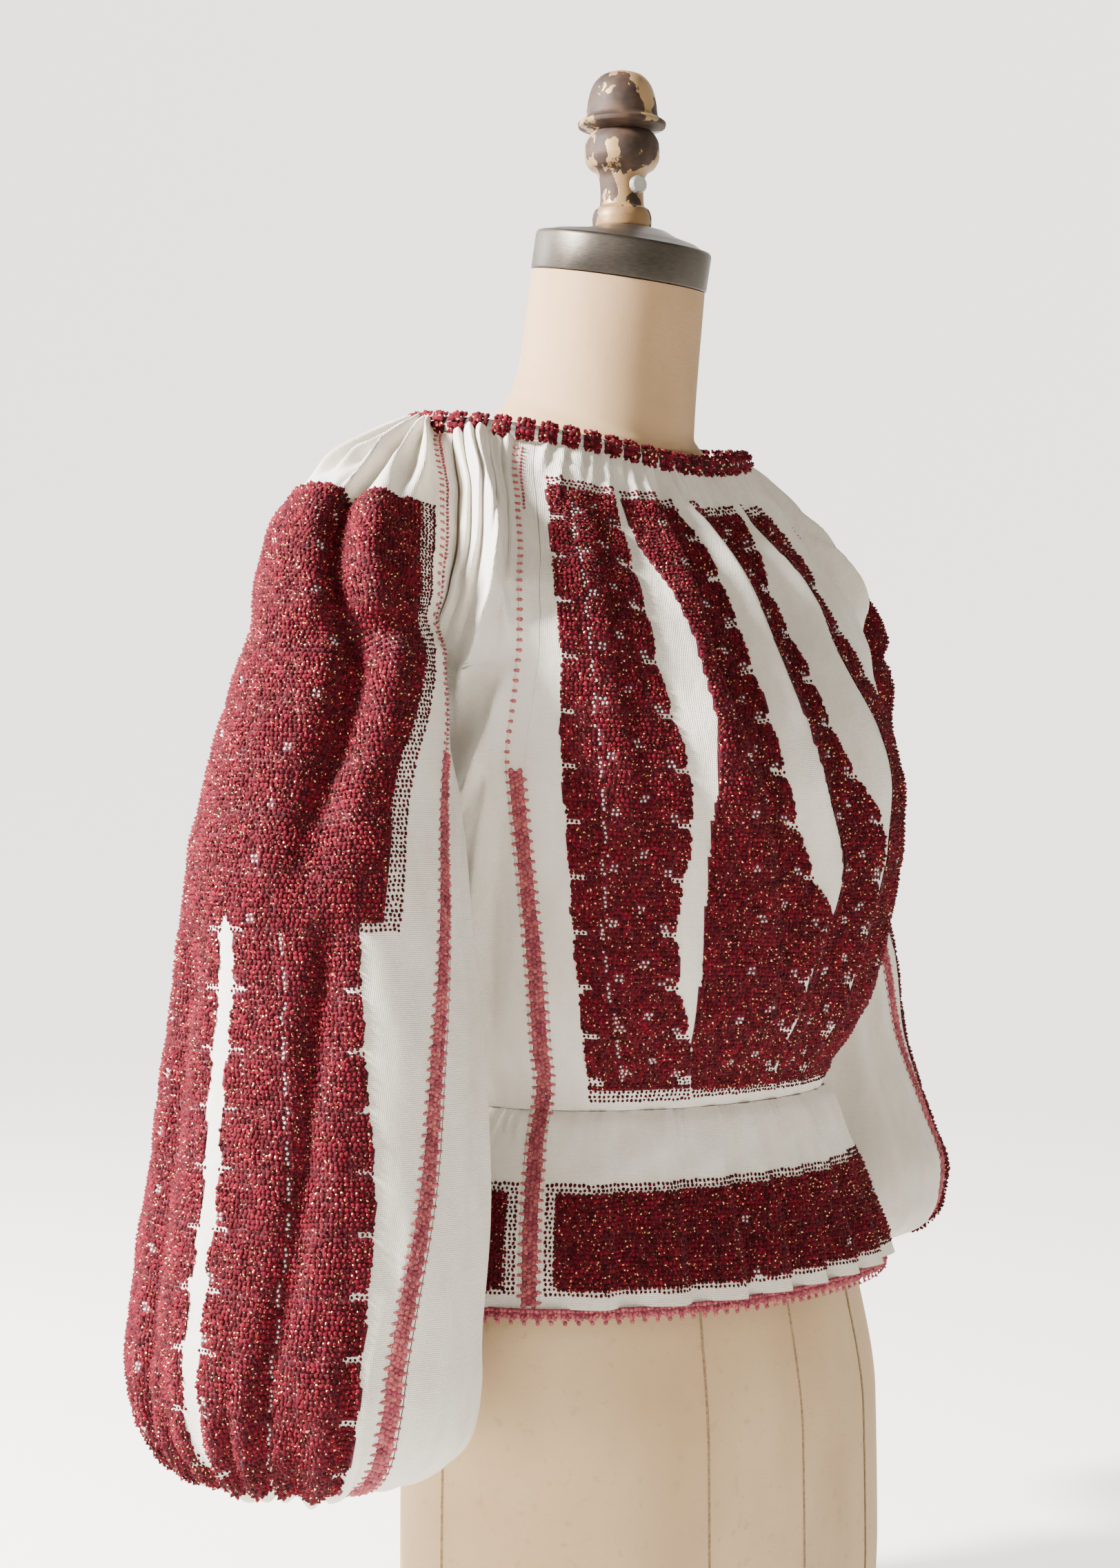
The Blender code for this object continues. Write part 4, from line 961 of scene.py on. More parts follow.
def front_at(a, v):
    v = np.clip(v, 0, 1)
    lift = fold_height(a, v) * FOLD_SCALE + knife_pleats(a, v) * ease((64 - abs(a)) / 3)
    lift = lift + creases(a, v, BODY_CREASES)
    lift = lift + 0.35 * drift(a * 0.10, v * 3, 3) * ease(v / 0.2)
    return torso_point(a, v) + torso_normal(a, v) * lift[..., None]


def back_at(a, v):
    v = np.clip(v, 0, 1)
    lift = gathers(a, v, 3.1, 2.2, 0.12)
    lift = lift + 2.2 * wave(a, 11) * ease(v / 0.1) * ease((0.95 - v) / 0.7)
    lift = lift + 0.5 * drift(a * 0.08, v * 2, 5) * ease(v / 0.2)
    return torso_point(a, v) + torso_normal(a, v) * lift[..., None]


FRONT = Surface(front_at, 0.12, 0.0015)
BACK = Surface(back_at, 0.2, 0.003)


def border(name):
    return lambda v: read(COLUMNS, name, v)


def front_low(v):
    return -seam("front_strip", v, -1)


def front_high(v):
    return seam("front_strip", v, -1)


def front_panel():
    stop = COLUMN_BOTTOM + 0.01
    fields = [Field(FRONT, border("a0"), border("a1"), COLUMN_TOP, stop, "ss", ladder=0.3)]
    for column in "bcd":
        fields.append(Field(FRONT, border(column + "0"), border(column + "1"), COLUMN_TOP, stop, "-s"))
    a, v = grid_between(front_low, front_high, np.linspace(0, 1, 150), 170)
    worked = np.max([field.cover(a, v) for field in fields], 0)
    sheet = cloth("front_cloth", FRONT, a, v, worked)
    wool = stitch("front_stitches", FRONT, fields, SEEDS["front"])
    hang(sheet, "white_cotton", "front_panel", "front", "gathered", "form_cover", wool)


def back_panel():
    stop = COLUMN_BOTTOM + 0.01
    fields = []
    for low, high in BACK_COLUMNS:
        fields.append(Field(BACK, lambda v, low=low: low + 0 * v, lambda v, high=high: high + 0 * v,
                            COLUMN_TOP, stop))
    a, v = grid_between(lambda v: seam("back_strip", v, 1), lambda v: 360 - seam("back_strip", v, 1),
                        np.linspace(0, 1, 130), 100)
    worked = np.max([field.cover(a, v) for field in fields], 0)
    sheet = cloth("back_cloth", BACK, a, v, worked)
    wool = stitch("back_stitches", BACK, fields, SEEDS["back"])
    hang(sheet, "white_cotton", "back_panel", "back", "gathered", "form_cover", wool)


# Sides

SIDE_CREASES = table(
    "v0 v1 v2 a0 a1 a2 soft steep rise",
    (-0.02, 0.20, 0.49, 80.0, 65.9, 84.0, 0.9, 2.6, 12.0),
    (-0.02, 0.14, 0.34, 78.0, 66.8, 64.3, 0.7, 1.2, 6.0),
    (0.35, 0.50, 0.70, 64.0, 75.0, 92.0, 1.2, 3.2, 13.0),
    (0.44, 0.65, 0.96, 69.0, 79.0, 90.0, 1.5, 3.8, 12.0),
    (0.52, 0.74, 0.99, 76.0, 88.0, 98.0, 1.6, 3.4, 8.0),
    (0.45, 0.66, 0.95, 104, 100, 97, 4, 3, 4.0),
    (0.30, 0.55, 0.90, 120, 116, 112, 3, 4, 3.0),
    (-0.02, 0.12, 0.34, 127, 128, 127, 1.4, 1.4, 3.5))
SIDE_PLEATS, SIDE_PLEAT_RISE = 5, 7.0


def side_pleats(a, v):
    """Long pleats from the neckband that close up towards the armhole."""
    low, high = seam("front_strip", v, 1), read(SEAMS, "sleeve_front", v)
    share = (a - low) / (high - low) + 0.05 * np.sin(v * 14)
    length = 0.34 + 0.09 * np.sin(np.floor(share * SIDE_PLEATS) * 2.1)
    rise = SIDE_PLEAT_RISE * (0.7 + 0.3 * np.sin(np.floor(share * SIDE_PLEATS) * 4.7))
    part = (share * SIDE_PLEATS) % 1
    shape = np.where(part < 0.3, np.sin(part / 0.3 * np.pi / 2), np.cos((part - 0.3) / 0.7 * np.pi / 2))
    return rise * shape * ease((length - v) / 0.14) * (share < 1.0)


def side_at(a, v):
    v = np.clip(v, 0, 1)
    lift = side_pleats(a, v) + creases(a, v, SIDE_CREASES)
    lift = lift + 1.1 * drift(a * 0.16, v * 2.4, 8) * ease(v / 0.2)
    calm = ease((a - seam("front_strip", v, 1)) / 2.5) * ease((seam("back_strip", v, -1) - a) / 2.5)
    return torso_point(a, v) + torso_normal(a, v) * (lift * calm)[..., None]


def spread(low, high, count):
    share = np.linspace(0, 1, count)
    return low[..., None] * (1 - share) + high[..., None] * share


def side_panel(label, side):
    """The piece under the arm: one grid whose faces over the armhole are left out."""
    surface = Surface(side_at, 0.2, 0.003, side)
    half = 64
    v = np.linspace(0, 1, 150)
    hole_front, hole_back = read(SEAMS, "sleeve_front", v), read(SEAMS, "sleeve_back", v)
    middle = (hole_front + hole_back) / 2
    open_rows = v < ARMPIT_DROP
    front = spread(seam("front_strip", v, 1), np.where(open_rows, hole_front - 0.5, middle), half)
    back = spread(np.where(open_rows, hole_back + 0.5, middle), seam("back_strip", v, -1), half)
    points = surface.lay(np.concatenate([front, back], 1), np.repeat(v[:, None], 2 * half, 1), 0.2)[0]
    faces = grid_faces(len(v), 2 * half)
    row, column = faces[:, 0] // (2 * half), faces[:, 0] % (2 * half)
    faces = faces[~((column == half - 1) & open_rows[row])]
    sheet = sheet_mesh("side_cloth_" + label, points, faces, COTTON, side)
    hang(sheet, "white_cotton", "side_panel_" + label, "side", "gathered", "form_cover")


# Crochet strips

# Rows of knots across a strip, their spacing, and their sizes where the strip is open and folded.
KNOT_ROWS, KNOT_SPACING, KNOT_OPEN, KNOT_FOLDED = (-2.5, 0.0, 2.5), 2.7, 3.7, 1.8
# Teeth beside a strip: their spacing, width, and each loop's reach and length.
TOOTH_SPACING, TOOTH_WIDTH, TOOTH_LOOPS = 5.3, 2.4, ((4.3, 2.2), (5.6, 1.7))
KNOT_HEIGHT, TOOTH_HEIGHT = 1.5, 0.9


def crochet_strip(name, surface, centre, start, stop, half, seed, hidden=0.0, thread_until=0.0):
    """A strip of knotted crochet between two rows of teeth; its middle is folded away above hidden."""
    rng = np.random.default_rng(seed)
    v = np.linspace(start, stop, 500)
    down = lengths_along(surface.at(centre(v), v))
    per_mm = half(v) / (STRIP / 2)
    parts = []
    for k, offset in enumerate(KNOT_ROWS):
        y = np.arange(0.7 + 1.3 * (k % 2), down[-1], KNOT_SPACING)
        place = np.interp(y, down, v)
        x = offset + rng.uniform(-0.4, 0.4, len(y))
        size = np.where(place > hidden, KNOT_OPEN, KNOT_FOLDED)
        if hidden:
            x = np.where(place > hidden, x, 1.5 + 0.2 * x)
            keep = (place > hidden) | (k == 1) & (place < thread_until)
            place, x, size = place[keep], x[keep], size[keep]
        parts.append(np.stack([x, place, size, size * 1.05, 0 * x], 1))
    for edge in (-1, 1):
        place = np.interp(np.arange(1.5 + edge, down[-1], TOOTH_SPACING), down, v)
        for reach, size in TOOTH_LOOPS:
            flat = 0 * place
            part = np.stack([flat + edge * reach, place, flat + TOOTH_WIDTH, flat + size, flat + 1], 1)
            if hidden and edge < 0:
                part = part[place > hidden]
            parts.append(part)
    x, place, width, length, tooth = np.concatenate(parts).T
    a = centre(place) + x * np.interp(place, v, per_mm)
    points, normals, across = surface.lay(a, place, 0.5)
    count = len(a)
    colours = yarn_colours(count, rng, ROSE_DEEP, ROSE_LIGHT, 0.0)
    tint = 0.5 + 0.5 * drift(0 * place, place * 0.6, seed)
    colours[:, :3] *= (0.75 + 0.45 * np.clip(tint, 0, 1))[:, None]
    colours[:, :3] = np.where(tooth[:, None] > 0, colours[:, :3] * 0.35 + ROSE_LIGHT * 0.75, colours[:, :3])
    length = length * rng.uniform(0.85, 1.2, count)
    width = width * rng.uniform(0.85, 1.1, count)
    height = np.where(tooth > 0, TOOTH_HEIGHT, KNOT_HEIGHT)
    return knobs(name, points, normals, across, length, width, height, colours, ROSE_YARN, rng)


def lace_strip(name, surface, centre, half, v, ends, seed, cut, rests_on, hidden, thread_until):
    """A strip's ground with its crochet on it, in place of its solid."""
    a, rows = strip_grid(centre, half, v)
    ground = cloth(name + "_ground", surface, a, rows, lift=0.1)
    lace = crochet_strip(name + "_crochet", surface, centre, *ends, half, seed, hidden, thread_until)
    hang(ground, "rose_crochet", name, cut, "hung", rests_on, lace)


def flounce_at(a, v):
    """The front and back strips run on over the flounce: v past 1 is the fall plus 1."""
    v = np.asarray(v, float)
    above = torso_point(a, np.clip(v, 0, 1))
    below = peplum_point(a, np.clip(v - 1, 0.0, 1.05))
    return np.where((v <= 1)[..., None], above, below)


def body_strip(seam_name, label, side):
    surface = Surface(flounce_at, 0.15, 0.004, side)

    def centre(v):
        return np.where(v <= 1, read(SEAMS, seam_name, np.clip(v, 0, 1)),
                        read(FLOUNCE_SEAMS, seam_name, np.clip(v - 1, 0, 1)))

    def half(v):
        return degrees_for(STRIP / 2, surface.at, centre(v), v)

    v = np.concatenate([np.linspace(0, 1, 120), np.linspace(1.03, 2, 40)])
    hidden = 0.5 if seam_name == "front_strip" else 0.0
    lace_strip(seam_name + "_" + label, surface, centre, half, v, (0.01, 1.99), SEEDS["body_strip"] + side,
               "body_strip", "side_cloth_" + label, hidden, 0.11)


# Sleeves

# Long valleys and ridges of a sleeve, then the gathers of its head; a is the share of its width.
TROUGH = table(
    "v0 v1 v2 a0 a1 a2 soft steep rise",
    (1.4, 5.0, 10.4, 0.30, 0.285, 0.30, 0.060, 0.045, -13.0),
    (1.4, 4.0, 9.5, 0.20, 0.19, 0.22, 0.045, 0.045, 4.0),
    (2.0, 5.5, 10.5, 0.55, 0.52, 0.50, 0.10, 0.09, 3.0),
    (5.0, 8.0, 13.0, 0.72, 0.70, 0.66, 0.05, 0.05, -4.0),
    (9.4, 12.0, 16.5, 0.24, 0.22, 0.20, 0.035, 0.03, -7.0),
    (9.5, 12.5, 16.5, 0.54, 0.52, 0.50, 0.04, 0.035, -5.0))
HEAD_GATHERS = table(
    "v0 v1 v2 a0 a1 a2 soft steep rise",
    (-0.5, 0.9, 2.9, 0.08, 0.08, 0.10, 0.030, 0.018, 9.0),
    (-0.5, 0.7, 2.5, 0.20, 0.20, 0.21, 0.028, 0.016, 8.0),
    (-0.5, 1.1, 3.2, 0.31, 0.32, 0.33, 0.030, 0.016, 11.0),
    (-0.5, 0.8, 2.6, 0.43, 0.44, 0.46, 0.030, 0.018, 8.0),
    (-0.5, 1.0, 3.0, 0.56, 0.57, 0.58, 0.030, 0.018, 11.0),
    (-0.5, 0.7, 2.6, 0.69, 0.69, 0.70, 0.028, 0.016, 8.0),
    (-0.5, 0.9, 2.9, 0.82, 0.82, 0.84, 0.030, 0.016, 8.0),
    (-0.5, 0.8, 2.6, 0.93, 0.93, 0.93, 0.022, 0.018, 2.6))
# Borders of the stitching on a sleeve: the altitsa's top and front, the lower front, the white gap.
ALTITSA_TOP = table(
    "share row",
    (0.0, 2.52), (0.18, 2.70), (0.35, 2.72), (0.58, 3.05), (0.8, 3.1), (1.0, 3.1))
FRONT_BORDER = table(
    "row share",
    (0.0, 0.012), (2.8, 0.014), (5.4, 0.027), (6.6, 0.066), (7.7, 0.097), (9.0, 0.094),
    (18.0, 0.095))
LOWER_BORDER = table(
    "row share",
    (9.0, 0.182), (9.7, 0.176), (10.9, 0.130), (11.8, 0.092), (12.5, 0.069),
    (13.4, 0.052), (14.4, 0.043), (18.0, 0.05))
GAP_MIDDLE = table(
    "row share",
    (9.6, 0.445), (10.1, 0.436), (11.3, 0.421), (12.5, 0.401), (14.7, 0.389), (15.6, 0.370),
    (18.0, 0.360))
ALTITSA_FOOT, GAP_TOP, STITCH_END = 9.75, 9.55, 16.4
ALTITSA_START, ALTITSA_FOOT_REACH = 2.55, 22.0
BACK_BORDER, FAR_BORDER_SHIFT, GAP_HALF = 0.90, 0.05, 4.6
# The row above which the front strip's middle is folded away.
STRIP_OPENS = 7.6


class Sleeve:
    """One sleeve's surfaces, by share of its width between the strips and by row."""

    def __init__(self, label, side, tube):
        self.label, self.side, self.tube = label, side, tube
        knots = np.linspace(0.0, 18, 361)
        start, low, high, end = self.span(knots)
        self.knots, self.edges = knots, np.stack([start, low, high, end])
        self.main = Surface(self.at, 0.002, 0.012, side)
        self.strip = Surface(self.bare, 0.3, 0.012, side)
        self.under = Surface(self.under_at, 0.004, 0.012, side)

    def span(self, row):
        """Angles of the four edges of the two strips."""
        def at(angle, row):
            return sleeve_point(angle, row, self.tube)

        start, end = sleeve_frame(row, self.tube)[3:]
        first = degrees_for(STRIP, at, start, row)
        last = degrees_for(STRIP, at, end, row)
        return start, start + first, end - last, end

    def edge(self, k, row):
        return np.interp(row, self.knots, self.edges[k])

    def bare(self, angle, row):
        """The sleeve's oval without its folds."""
        return sleeve_point(angle, np.clip(row, 0.02, 18), self.tube)

    def at(self, share, row):
        """The panel between the strips, with its gathers and creases."""
        row = np.clip(row, 0.02, 18)
        low, high = self.edge(1, row), self.edge(2, row)
        angle = low + (high - low) * share
        across = self.bare(angle + 0.5, row) - self.bare(angle - 0.5, row)
        down = self.bare(angle, row + 0.03) - self.bare(angle, row - 0.03)
        normal = unit(np.cross(down, across))
        calm = ease(share / 0.03) * ease((1 - share) / 0.03)
        lift = creases(share, row, HEAD_GATHERS) + creases(share, row, TROUGH)
        lift = lift + 2.0 * puff(share + 0.006 * np.sin(share * 40), 0.062) * ease(1 - row / 2.2)
        low = ease((row - 12.5) / 3.5) * ease((18.6 - row) / 1.2)
        lift = lift + low * (4.5 * wave(share + 0.01 * np.sin(share * 23), 0.075, 1.2)
                             + 2.5 * wave(share, 0.21))
        lift = lift + 1.2 * drift(share * 11, row * 0.35, 31 + self.side) * ease(row / 3)
        lift = lift - 0.6 * ease((row - 2.2) / 0.5) * ease((3.6 - row) / 0.6)
        return self.bare(angle, row) + normal * (lift * calm)[..., None]

    def under_span(self, row):
        """Angles of the underarm panel's two edges."""
        return self.edge(3, row) + UNDER_GAP, self.edge(0, row) + 360 - UNDER_GAP

    def under_at(self, share, row):
        """The underarm panel: its top edge follows the armhole, and its folds start below that."""
        row = np.clip(row, 5, 18)
        first, last = self.under_span(row)
        points = self.bare(first + (last - first) * share, row)
        drop = read(HEAD, "drop", 5.0)
        deep = drop + (ARMPIT_DROP - drop) * (1 - abs(2 * share - 1) ** 2.5)
        front = torso_point(read(SEAMS, "sleeve_front", deep), deep)
        back = torso_point(read(SEAMS, "sleeve_back", deep), deep)
        edge = np.where((share > 0.5)[..., None], front, back)
        edge = edge + torso_normal(read(SEAMS, "sleeve_back", deep), deep) * 1.6
        top = np.full(np.shape(row), 5.0)
        first, last = self.under_span(top)
        shift = edge - self.bare(first + (last - first) * share, top)
        shift = shift * np.clip(np.minimum(share, 1 - share) * 12, 0, 1)[..., None]
        points = points + shift * ease(1 - (row - 5) / 2.2)[..., None]
        core = np.stack([read(self.tube, name, row) for name in "xyz"], -1)
        calm = ease(share / 0.06) * ease((1 - share) / 0.06)
        low = ease((row - 12) / 4) * ease((18.6 - row) / 1.2)
        lift = low * 3.5 * wave(share + 0.03 * np.sin(share * 9), 0.13) + creases(share, row, UNDER_CREASES)
        lift = lift + 0.8 * drift(share * 4, row * 0.3, 41 + self.side) * ease((row - 6) / 3)
        return points + unit(points - core) * (lift * calm)[..., None]


UNDER_GAP = 0.4
UNDER_CREASES = table(
    "v0 v1 v2 a0 a1 a2 soft steep rise",
    (7.5, 10.5, 16.5, 0.86, 0.80, 0.74, 0.05, 0.035, 5.0),
    (8.5, 12.0, 17.0, 0.66, 0.62, 0.60, 0.06, 0.05, 4.0),
    (8.0, 11.0, 16.5, 0.94, 0.93, 0.90, 0.03, 0.03, 3.0),
    (8.5, 12.0, 17.0, 0.35, 0.38, 0.40, 0.06, 0.06, 4.0),
    (7.5, 10.5, 16.0, 0.12, 0.16, 0.20, 0.05, 0.05, 3.5))


def white_gap(field, state, x, width, y):
    """The white gap that parts the lower stitching in two, scalloped on both sides."""
    v = np.interp(y, field.down, field.fine)
    left, right = field.left(v), field.right(v)
    share = (read(GAP_MIDDLE, "share", v) - left) / (right - left)
    away = np.abs(x - share * width)
    lobe, comb = scallops(y, field.pitch)
    open_here = v > GAP_TOP
    half = GAP_HALF * ease((v - GAP_TOP) / 0.25) + lobe
    state[open_here & (away < half + COMB_LENGTH - 2) & comb] = MARK
    state[open_here & (away < half) & ~(comb & (away > half - 3))] = NONE


def sleeve_panel(sleeve):
    """The sleeve's cloth with the altitsa and the lower columns on it."""
    label, surface = sleeve.label, sleeve.main
    lower_shift = FAR_BORDER_SHIFT if sleeve.side > 0 else 0

    def altitsa_left(v):
        return read(FRONT_BORDER, "share", v)

    def lower_left(v):
        return read(LOWER_BORDER, "share", v) - lower_shift

    def right(v):
        return BACK_BORDER + 0 * v

    def top(share):
        return read(ALTITSA_TOP, "row", share)

    fields = (Field(surface, altitsa_left, right, ALTITSA_START, ALTITSA_FOOT, "ls", top=0, foot=2,
                    gap=white_gap, foot_reach=ALTITSA_FOOT_REACH),
              Field(surface, lower_left, right, ALTITSA_FOOT - 0.04, STITCH_END, "ss", top=0, foot=0,
                    ladder=0.2, gap=white_gap))
    rows = np.concatenate([np.linspace(0.03, 2.4, 34), np.linspace(2.46, 9.9, 150),
                           np.linspace(9.95, 15, 110), np.linspace(15.07, 18, 46)])
    a, v = grid(rows, np.linspace(0, 1, 110))
    worked = np.max([field.cover(a, v) for field in fields], 0) * (v > top(a))
    sheet = cloth("sleeve_cloth_" + label, surface, a, v, worked)
    wool = stitch("sleeve_stitches_" + label, surface, fields, SEEDS["sleeve"] + sleeve.side, top)
    hang(sheet, "white_cotton", "sleeve_" + label, "sleeve", "gathered", "side_cloth_" + label, wool)


def underarm(sleeve):
    a, v = grid(np.linspace(5, 18, 110), np.linspace(0, 1, 60))
    sheet = cloth("underarm_cloth_" + sleeve.label, sleeve.under, a, v, lift=0.1)
    hang(sheet, "white_cotton", "underarm_" + sleeve.label, "underarm", "hung", "side_cloth_" + sleeve.label)


def sleeve_strip(sleeve, name, near, far, hidden):
    """The strip between two of the sleeve's edges."""
    def centre(v):
        return (sleeve.edge(near, v) + sleeve.edge(far, v)) / 2

    def half(v):
        return (sleeve.edge(far, v) - sleeve.edge(near, v)) / 2

    lace_strip("sleeve_%s_strip_%s" % (name, sleeve.label), sleeve.strip, centre, half,
               np.linspace(0.05, 18, 170), (0.1, 17.0), SEEDS["sleeve_" + name] + sleeve.side,
               "sleeve_strip", "sleeve_cloth_" + sleeve.label, hidden, STRIP_OPENS)


def sleeve_pieces(label, side, tube):
    sleeve = Sleeve(label, side, tube)
    sleeve_panel(sleeve)
    underarm(sleeve)
    sleeve_strip(sleeve, "front", 0, 1, STRIP_OPENS)
    sleeve_strip(sleeve, "back", 2, 3, 0.0)
    cuff(label, side, tube)


def cuff(label, side, tube):
    """A band that rises inside the sleeve's end, with pleats that fade upwards."""
    rows, count = 14, 121
    angles = np.linspace(0, 360, count)
    ring = sleeve_point(angles, np.full(count, 18.0), tube) + (0, 0, SEAM_GAP + 0.4)
    out = unit(ring - ring[:-1].mean(0))
    pleat = 1.2 * wave(angles, 9) * np.linspace(1, 0.2, rows)[:, None]
    points = np.stack([ring + (0, 0, height) for height in np.linspace(0, CUFF_HEIGHT, rows)])
    points = (points + out * pleat[..., None]) * np.array([side, 1, 1])
    band = sheet_mesh("cuff_band_" + label, points, grid_faces(rows, count), COTTON, side)
    hang(band, "white_cotton", "cuff_" + label, "cuff", "gathered", "sleeve_cloth_" + label)


# The flounce, its edging and the neckband

PLEATS = {"front": 9, "back": 7, "side": 3}
PLEAT_DEPTH = 7.5
BAND_FALLS = (0.365, 0.955)
BAND_INSET = 1.2


def peplum_surface(low, high, pleats, side):
    """A flounce panel with flat pleats between its two edges and fine gathers at the waist."""
    def at(a, v):
        v = np.clip(v, 0, 1.0)
        first, last = low(v), high(v)
        part = np.clip((a - first) / (last - first), 0, 1) * pleats % 1
        rise = np.where(part < 0.8, ease(part / 0.8), ease((1 - part) / 0.2)) * 0.98
        rise = rise * (0.35 + 0.65 * v) * PLEAT_DEPTH
        calm = ease(v / 0.3) * ease((last - a) / 3) * ease((a - first) / 3)
        rise = rise + 1.6 * drift(a * 0.10, v, 71) * calm
        rise = rise + 1.6 * wave(a + 3 * np.sin(a * 0.3), 4.5) * ease(1 - v / 0.3)
        rise = rise - 1.6 * ease(1 - v / 0.06)
        return peplum_point(a, v) + outward(a) * rise[..., None]
    return Surface(at, 0.15, 0.01, side)


def peplum(name, node, low, high, pleats, side=0):
    """One panel of the flounce; side is 0 for the front and the back."""
    cut = name.replace("_right", "").replace("_left", "")
    surface = peplum_surface(low, high, pleats, side or 1)

    def inset(v):
        return degrees_for(BAND_INSET, surface.at, low(v), v)

    field = Field(surface, lambda v: low(v) + inset(v), lambda v: high(v) - inset(v), *BAND_FALLS, "ll",
                  top=2, foot=2, rim=2.6)
    v = np.concatenate([np.linspace(0, 0.35, 16), np.linspace(0.36, 0.96, 26), np.linspace(0.97, 1, 3)])
    a, v = grid_between(low, high, v, int(abs(high(0.5) - low(0.5)) * 1.25))
    sheet = cloth(name + "_cloth", surface, a, v, field.cover(a, v))
    wool = stitch(name + "_stitches", surface, [field], SEEDS[cut] + side)
    hang(sheet, "white_cotton", node, cut, "gathered", "front_cloth", wool)


def peplums():
    peplum("flounce_front", "peplum_front", lambda v: -flounce_seam("front_strip", v, -1),
           lambda v: flounce_seam("front_strip", v, -1), PLEATS["front"])
    peplum("flounce_back", "peplum_back", lambda v: flounce_seam("back_strip", v, 1),
           lambda v: 360 - flounce_seam("back_strip", v, 1), PLEATS["back"])
    for label, side, _ in SIDES:
        peplum("flounce_side_" + label, "peplum_side_" + label, lambda v: flounce_seam("front_strip", v, 1),
               lambda v: flounce_seam("back_strip", v, -1), PLEATS["side"], side)


# A shell's loops: place along and above the hem, width and length.
SHELL_LOOPS = ((-2.6, 0.3, 2.8, 2.6), (0.0, 0.0, 2.8, 2.6), (2.6, 0.3, 2.8, 2.6), (-2.4, -2.4, 2.3, 4.0),
               (-0.3, -3.3, 2.5, 4.6), (1.9, -3.0, 2.4, 4.2), (3.0, -1.6, 1.8, 3.0), (0.6, -5.9, 2.6, 3.0))


def hem_line(angle, out):
    return peplum_point(angle, 1.0) + outward(angle) * out


def hem_edging():
    """Crochet shells: a chain under the hem and a fan of loops for each tooth."""
    rng = np.random.default_rng(SEEDS["hem"])
    angles = np.linspace(0, 360, 721)
    down = lengths_along(hem_line(angles, 2.6))
    teeth = round(down[-1] / SCALLOP)
    rows = []
    for k in range(teeth):
        s = (k + 0.5) * down[-1] / teeth
        for x, z, width, length in SHELL_LOOPS:
            rows.append((np.interp((s + x) % down[-1], down, angles), z - 1.0, width, length))
    angle, drop, width, length = np.array(rows).T
    points = hem_line(angle, 2.6) + drop[:, None] * (0, 0, 1)
    normals = outward(angle)
    colours = yarn_colours(len(points), rng, ROSE_DEEP * 1.1, ROSE_LIGHT * 1.1, 0.0)
    lace = knobs("hem_shells", points, normals, np.cross((0, 0, 1.0), normals), length, width, 1.7, colours,
                 ROSE_YARN, rng)
    rings = np.stack([hem_line(angles[:-1], 2.3) - (0, 0, z) for z in (-0.5, 1.5, 3.2, 4.6)])
    band = make_mesh("hem_edging_band", rings, grid_faces(4, 720, closed=True), ROSE_YARN)
    # The chain is painted darker than the shells in front of it: painted shade behind the loops.
    paint(band, "yarn", np.tile([*(ROSE_DEEP * 0.8), 0], (rings.shape[0] * rings.shape[1], 1)))
    stand_for(lace, "rose_crochet", "hem_edging", stitches=[band])


def band_point(angle, height):
    low = torso_point(angle, 0 * angle)
    up_slope = unit(torso_point(angle, 0 * angle) - torso_point(angle, 0 * angle + 0.01))
    return low + unit(up_slope + (0, 0, BAND_UPRIGHT)) * np.asarray(height)[..., None]


BLOCK_PUFF, BLOCK_PITCH, BLOCK_SHARE = 3.4, 12.8, 0.40
BLOCK_LOOPS_X, BLOCK_LOOPS_Y = (-3.7, -1.25, 1.25, 3.7), (0.6, 3.1, 5.6, 8.1, 10.3)
BAND_WALL = (0, 1, 1.6, 1.8, 1.8, 1.8, 1.6, 1, 0)


def band_out(a):
    return unit(torso_normal(a, 0 * a) + outward(a) * 0.8)


def band_at(a, v):
    bulge = 1.6 * np.sin(np.clip(v / BAND_HEIGHT, 0, 1) * np.pi)
    return band_point(a, v) + band_out(a) * (0.9 + bulge)[..., None]


def neckband():
    """A rolled band worked in knotted blocks."""
    rng = np.random.default_rng(SEEDS["neckband"])
    surface = Surface(band_at, 0.3, 0.05)
    angles = np.linspace(0, 360, 361)
    down = lengths_along(band_at(angles, 5 + 0 * angles))
    blocks = round(down[-1] / BLOCK_PITCH)
    ring_angles = np.linspace(0, 360, 1080, endpoint=False)
    a, v = grid(np.linspace(0.3, BAND_HEIGHT, len(BAND_WALL)), ring_angles)
    points = band_at(a, v)
    inner = points - band_out(a) * np.array(BAND_WALL)[:, None, None]
    rings = np.concatenate([points, inner[::-1]])
    part = (np.interp(ring_angles, angles, down) * blocks / down[-1]) % 1
    worked = np.zeros(rings.shape[:2])
    worked[1:9] = np.abs(part - 0.5) < BLOCK_SHARE
    band = sheet_mesh("neckband_roll", rings, grid_faces(len(rings), len(ring_angles), closed=True), COTTON,
                      worked=worked)
    places = []
    for k in range(blocks):
        s = (k + 0.5) * down[-1] / blocks
        for x in BLOCK_LOOPS_X:
            for y in BLOCK_LOOPS_Y:
                middle = (1 - (x / 6.5) ** 2) * (1 - ((y - 5.4) / 7.5) ** 2)
                shift_x, shift_y = rng.uniform(-0.3, 0.3, 2)
                places.append((np.interp(s + x + shift_x, down, angles), y + shift_y, 0.75 + 0.35 * middle,
                               BLOCK_PUFF * middle))
    angle, height, size, rise = np.array(places).T
    # The band's heights run upwards, so its normals point inwards here.
    points, normals, across = surface.lay(angle, height, -rise)
    colours = yarn_colours(len(places), rng, DEEP, LIGHT * 1.1, 0.6)
    wool = knobs("neckband_knots", points, -normals, across, 3.9 * size, 3.3 * size, 1.9 * size, colours,
                 WOOL_YARN, rng)
    hang(band, "burgundy_wool", "neckband", "neckband", "folded", "front_cloth", wool)


# The form, its cap and its finial

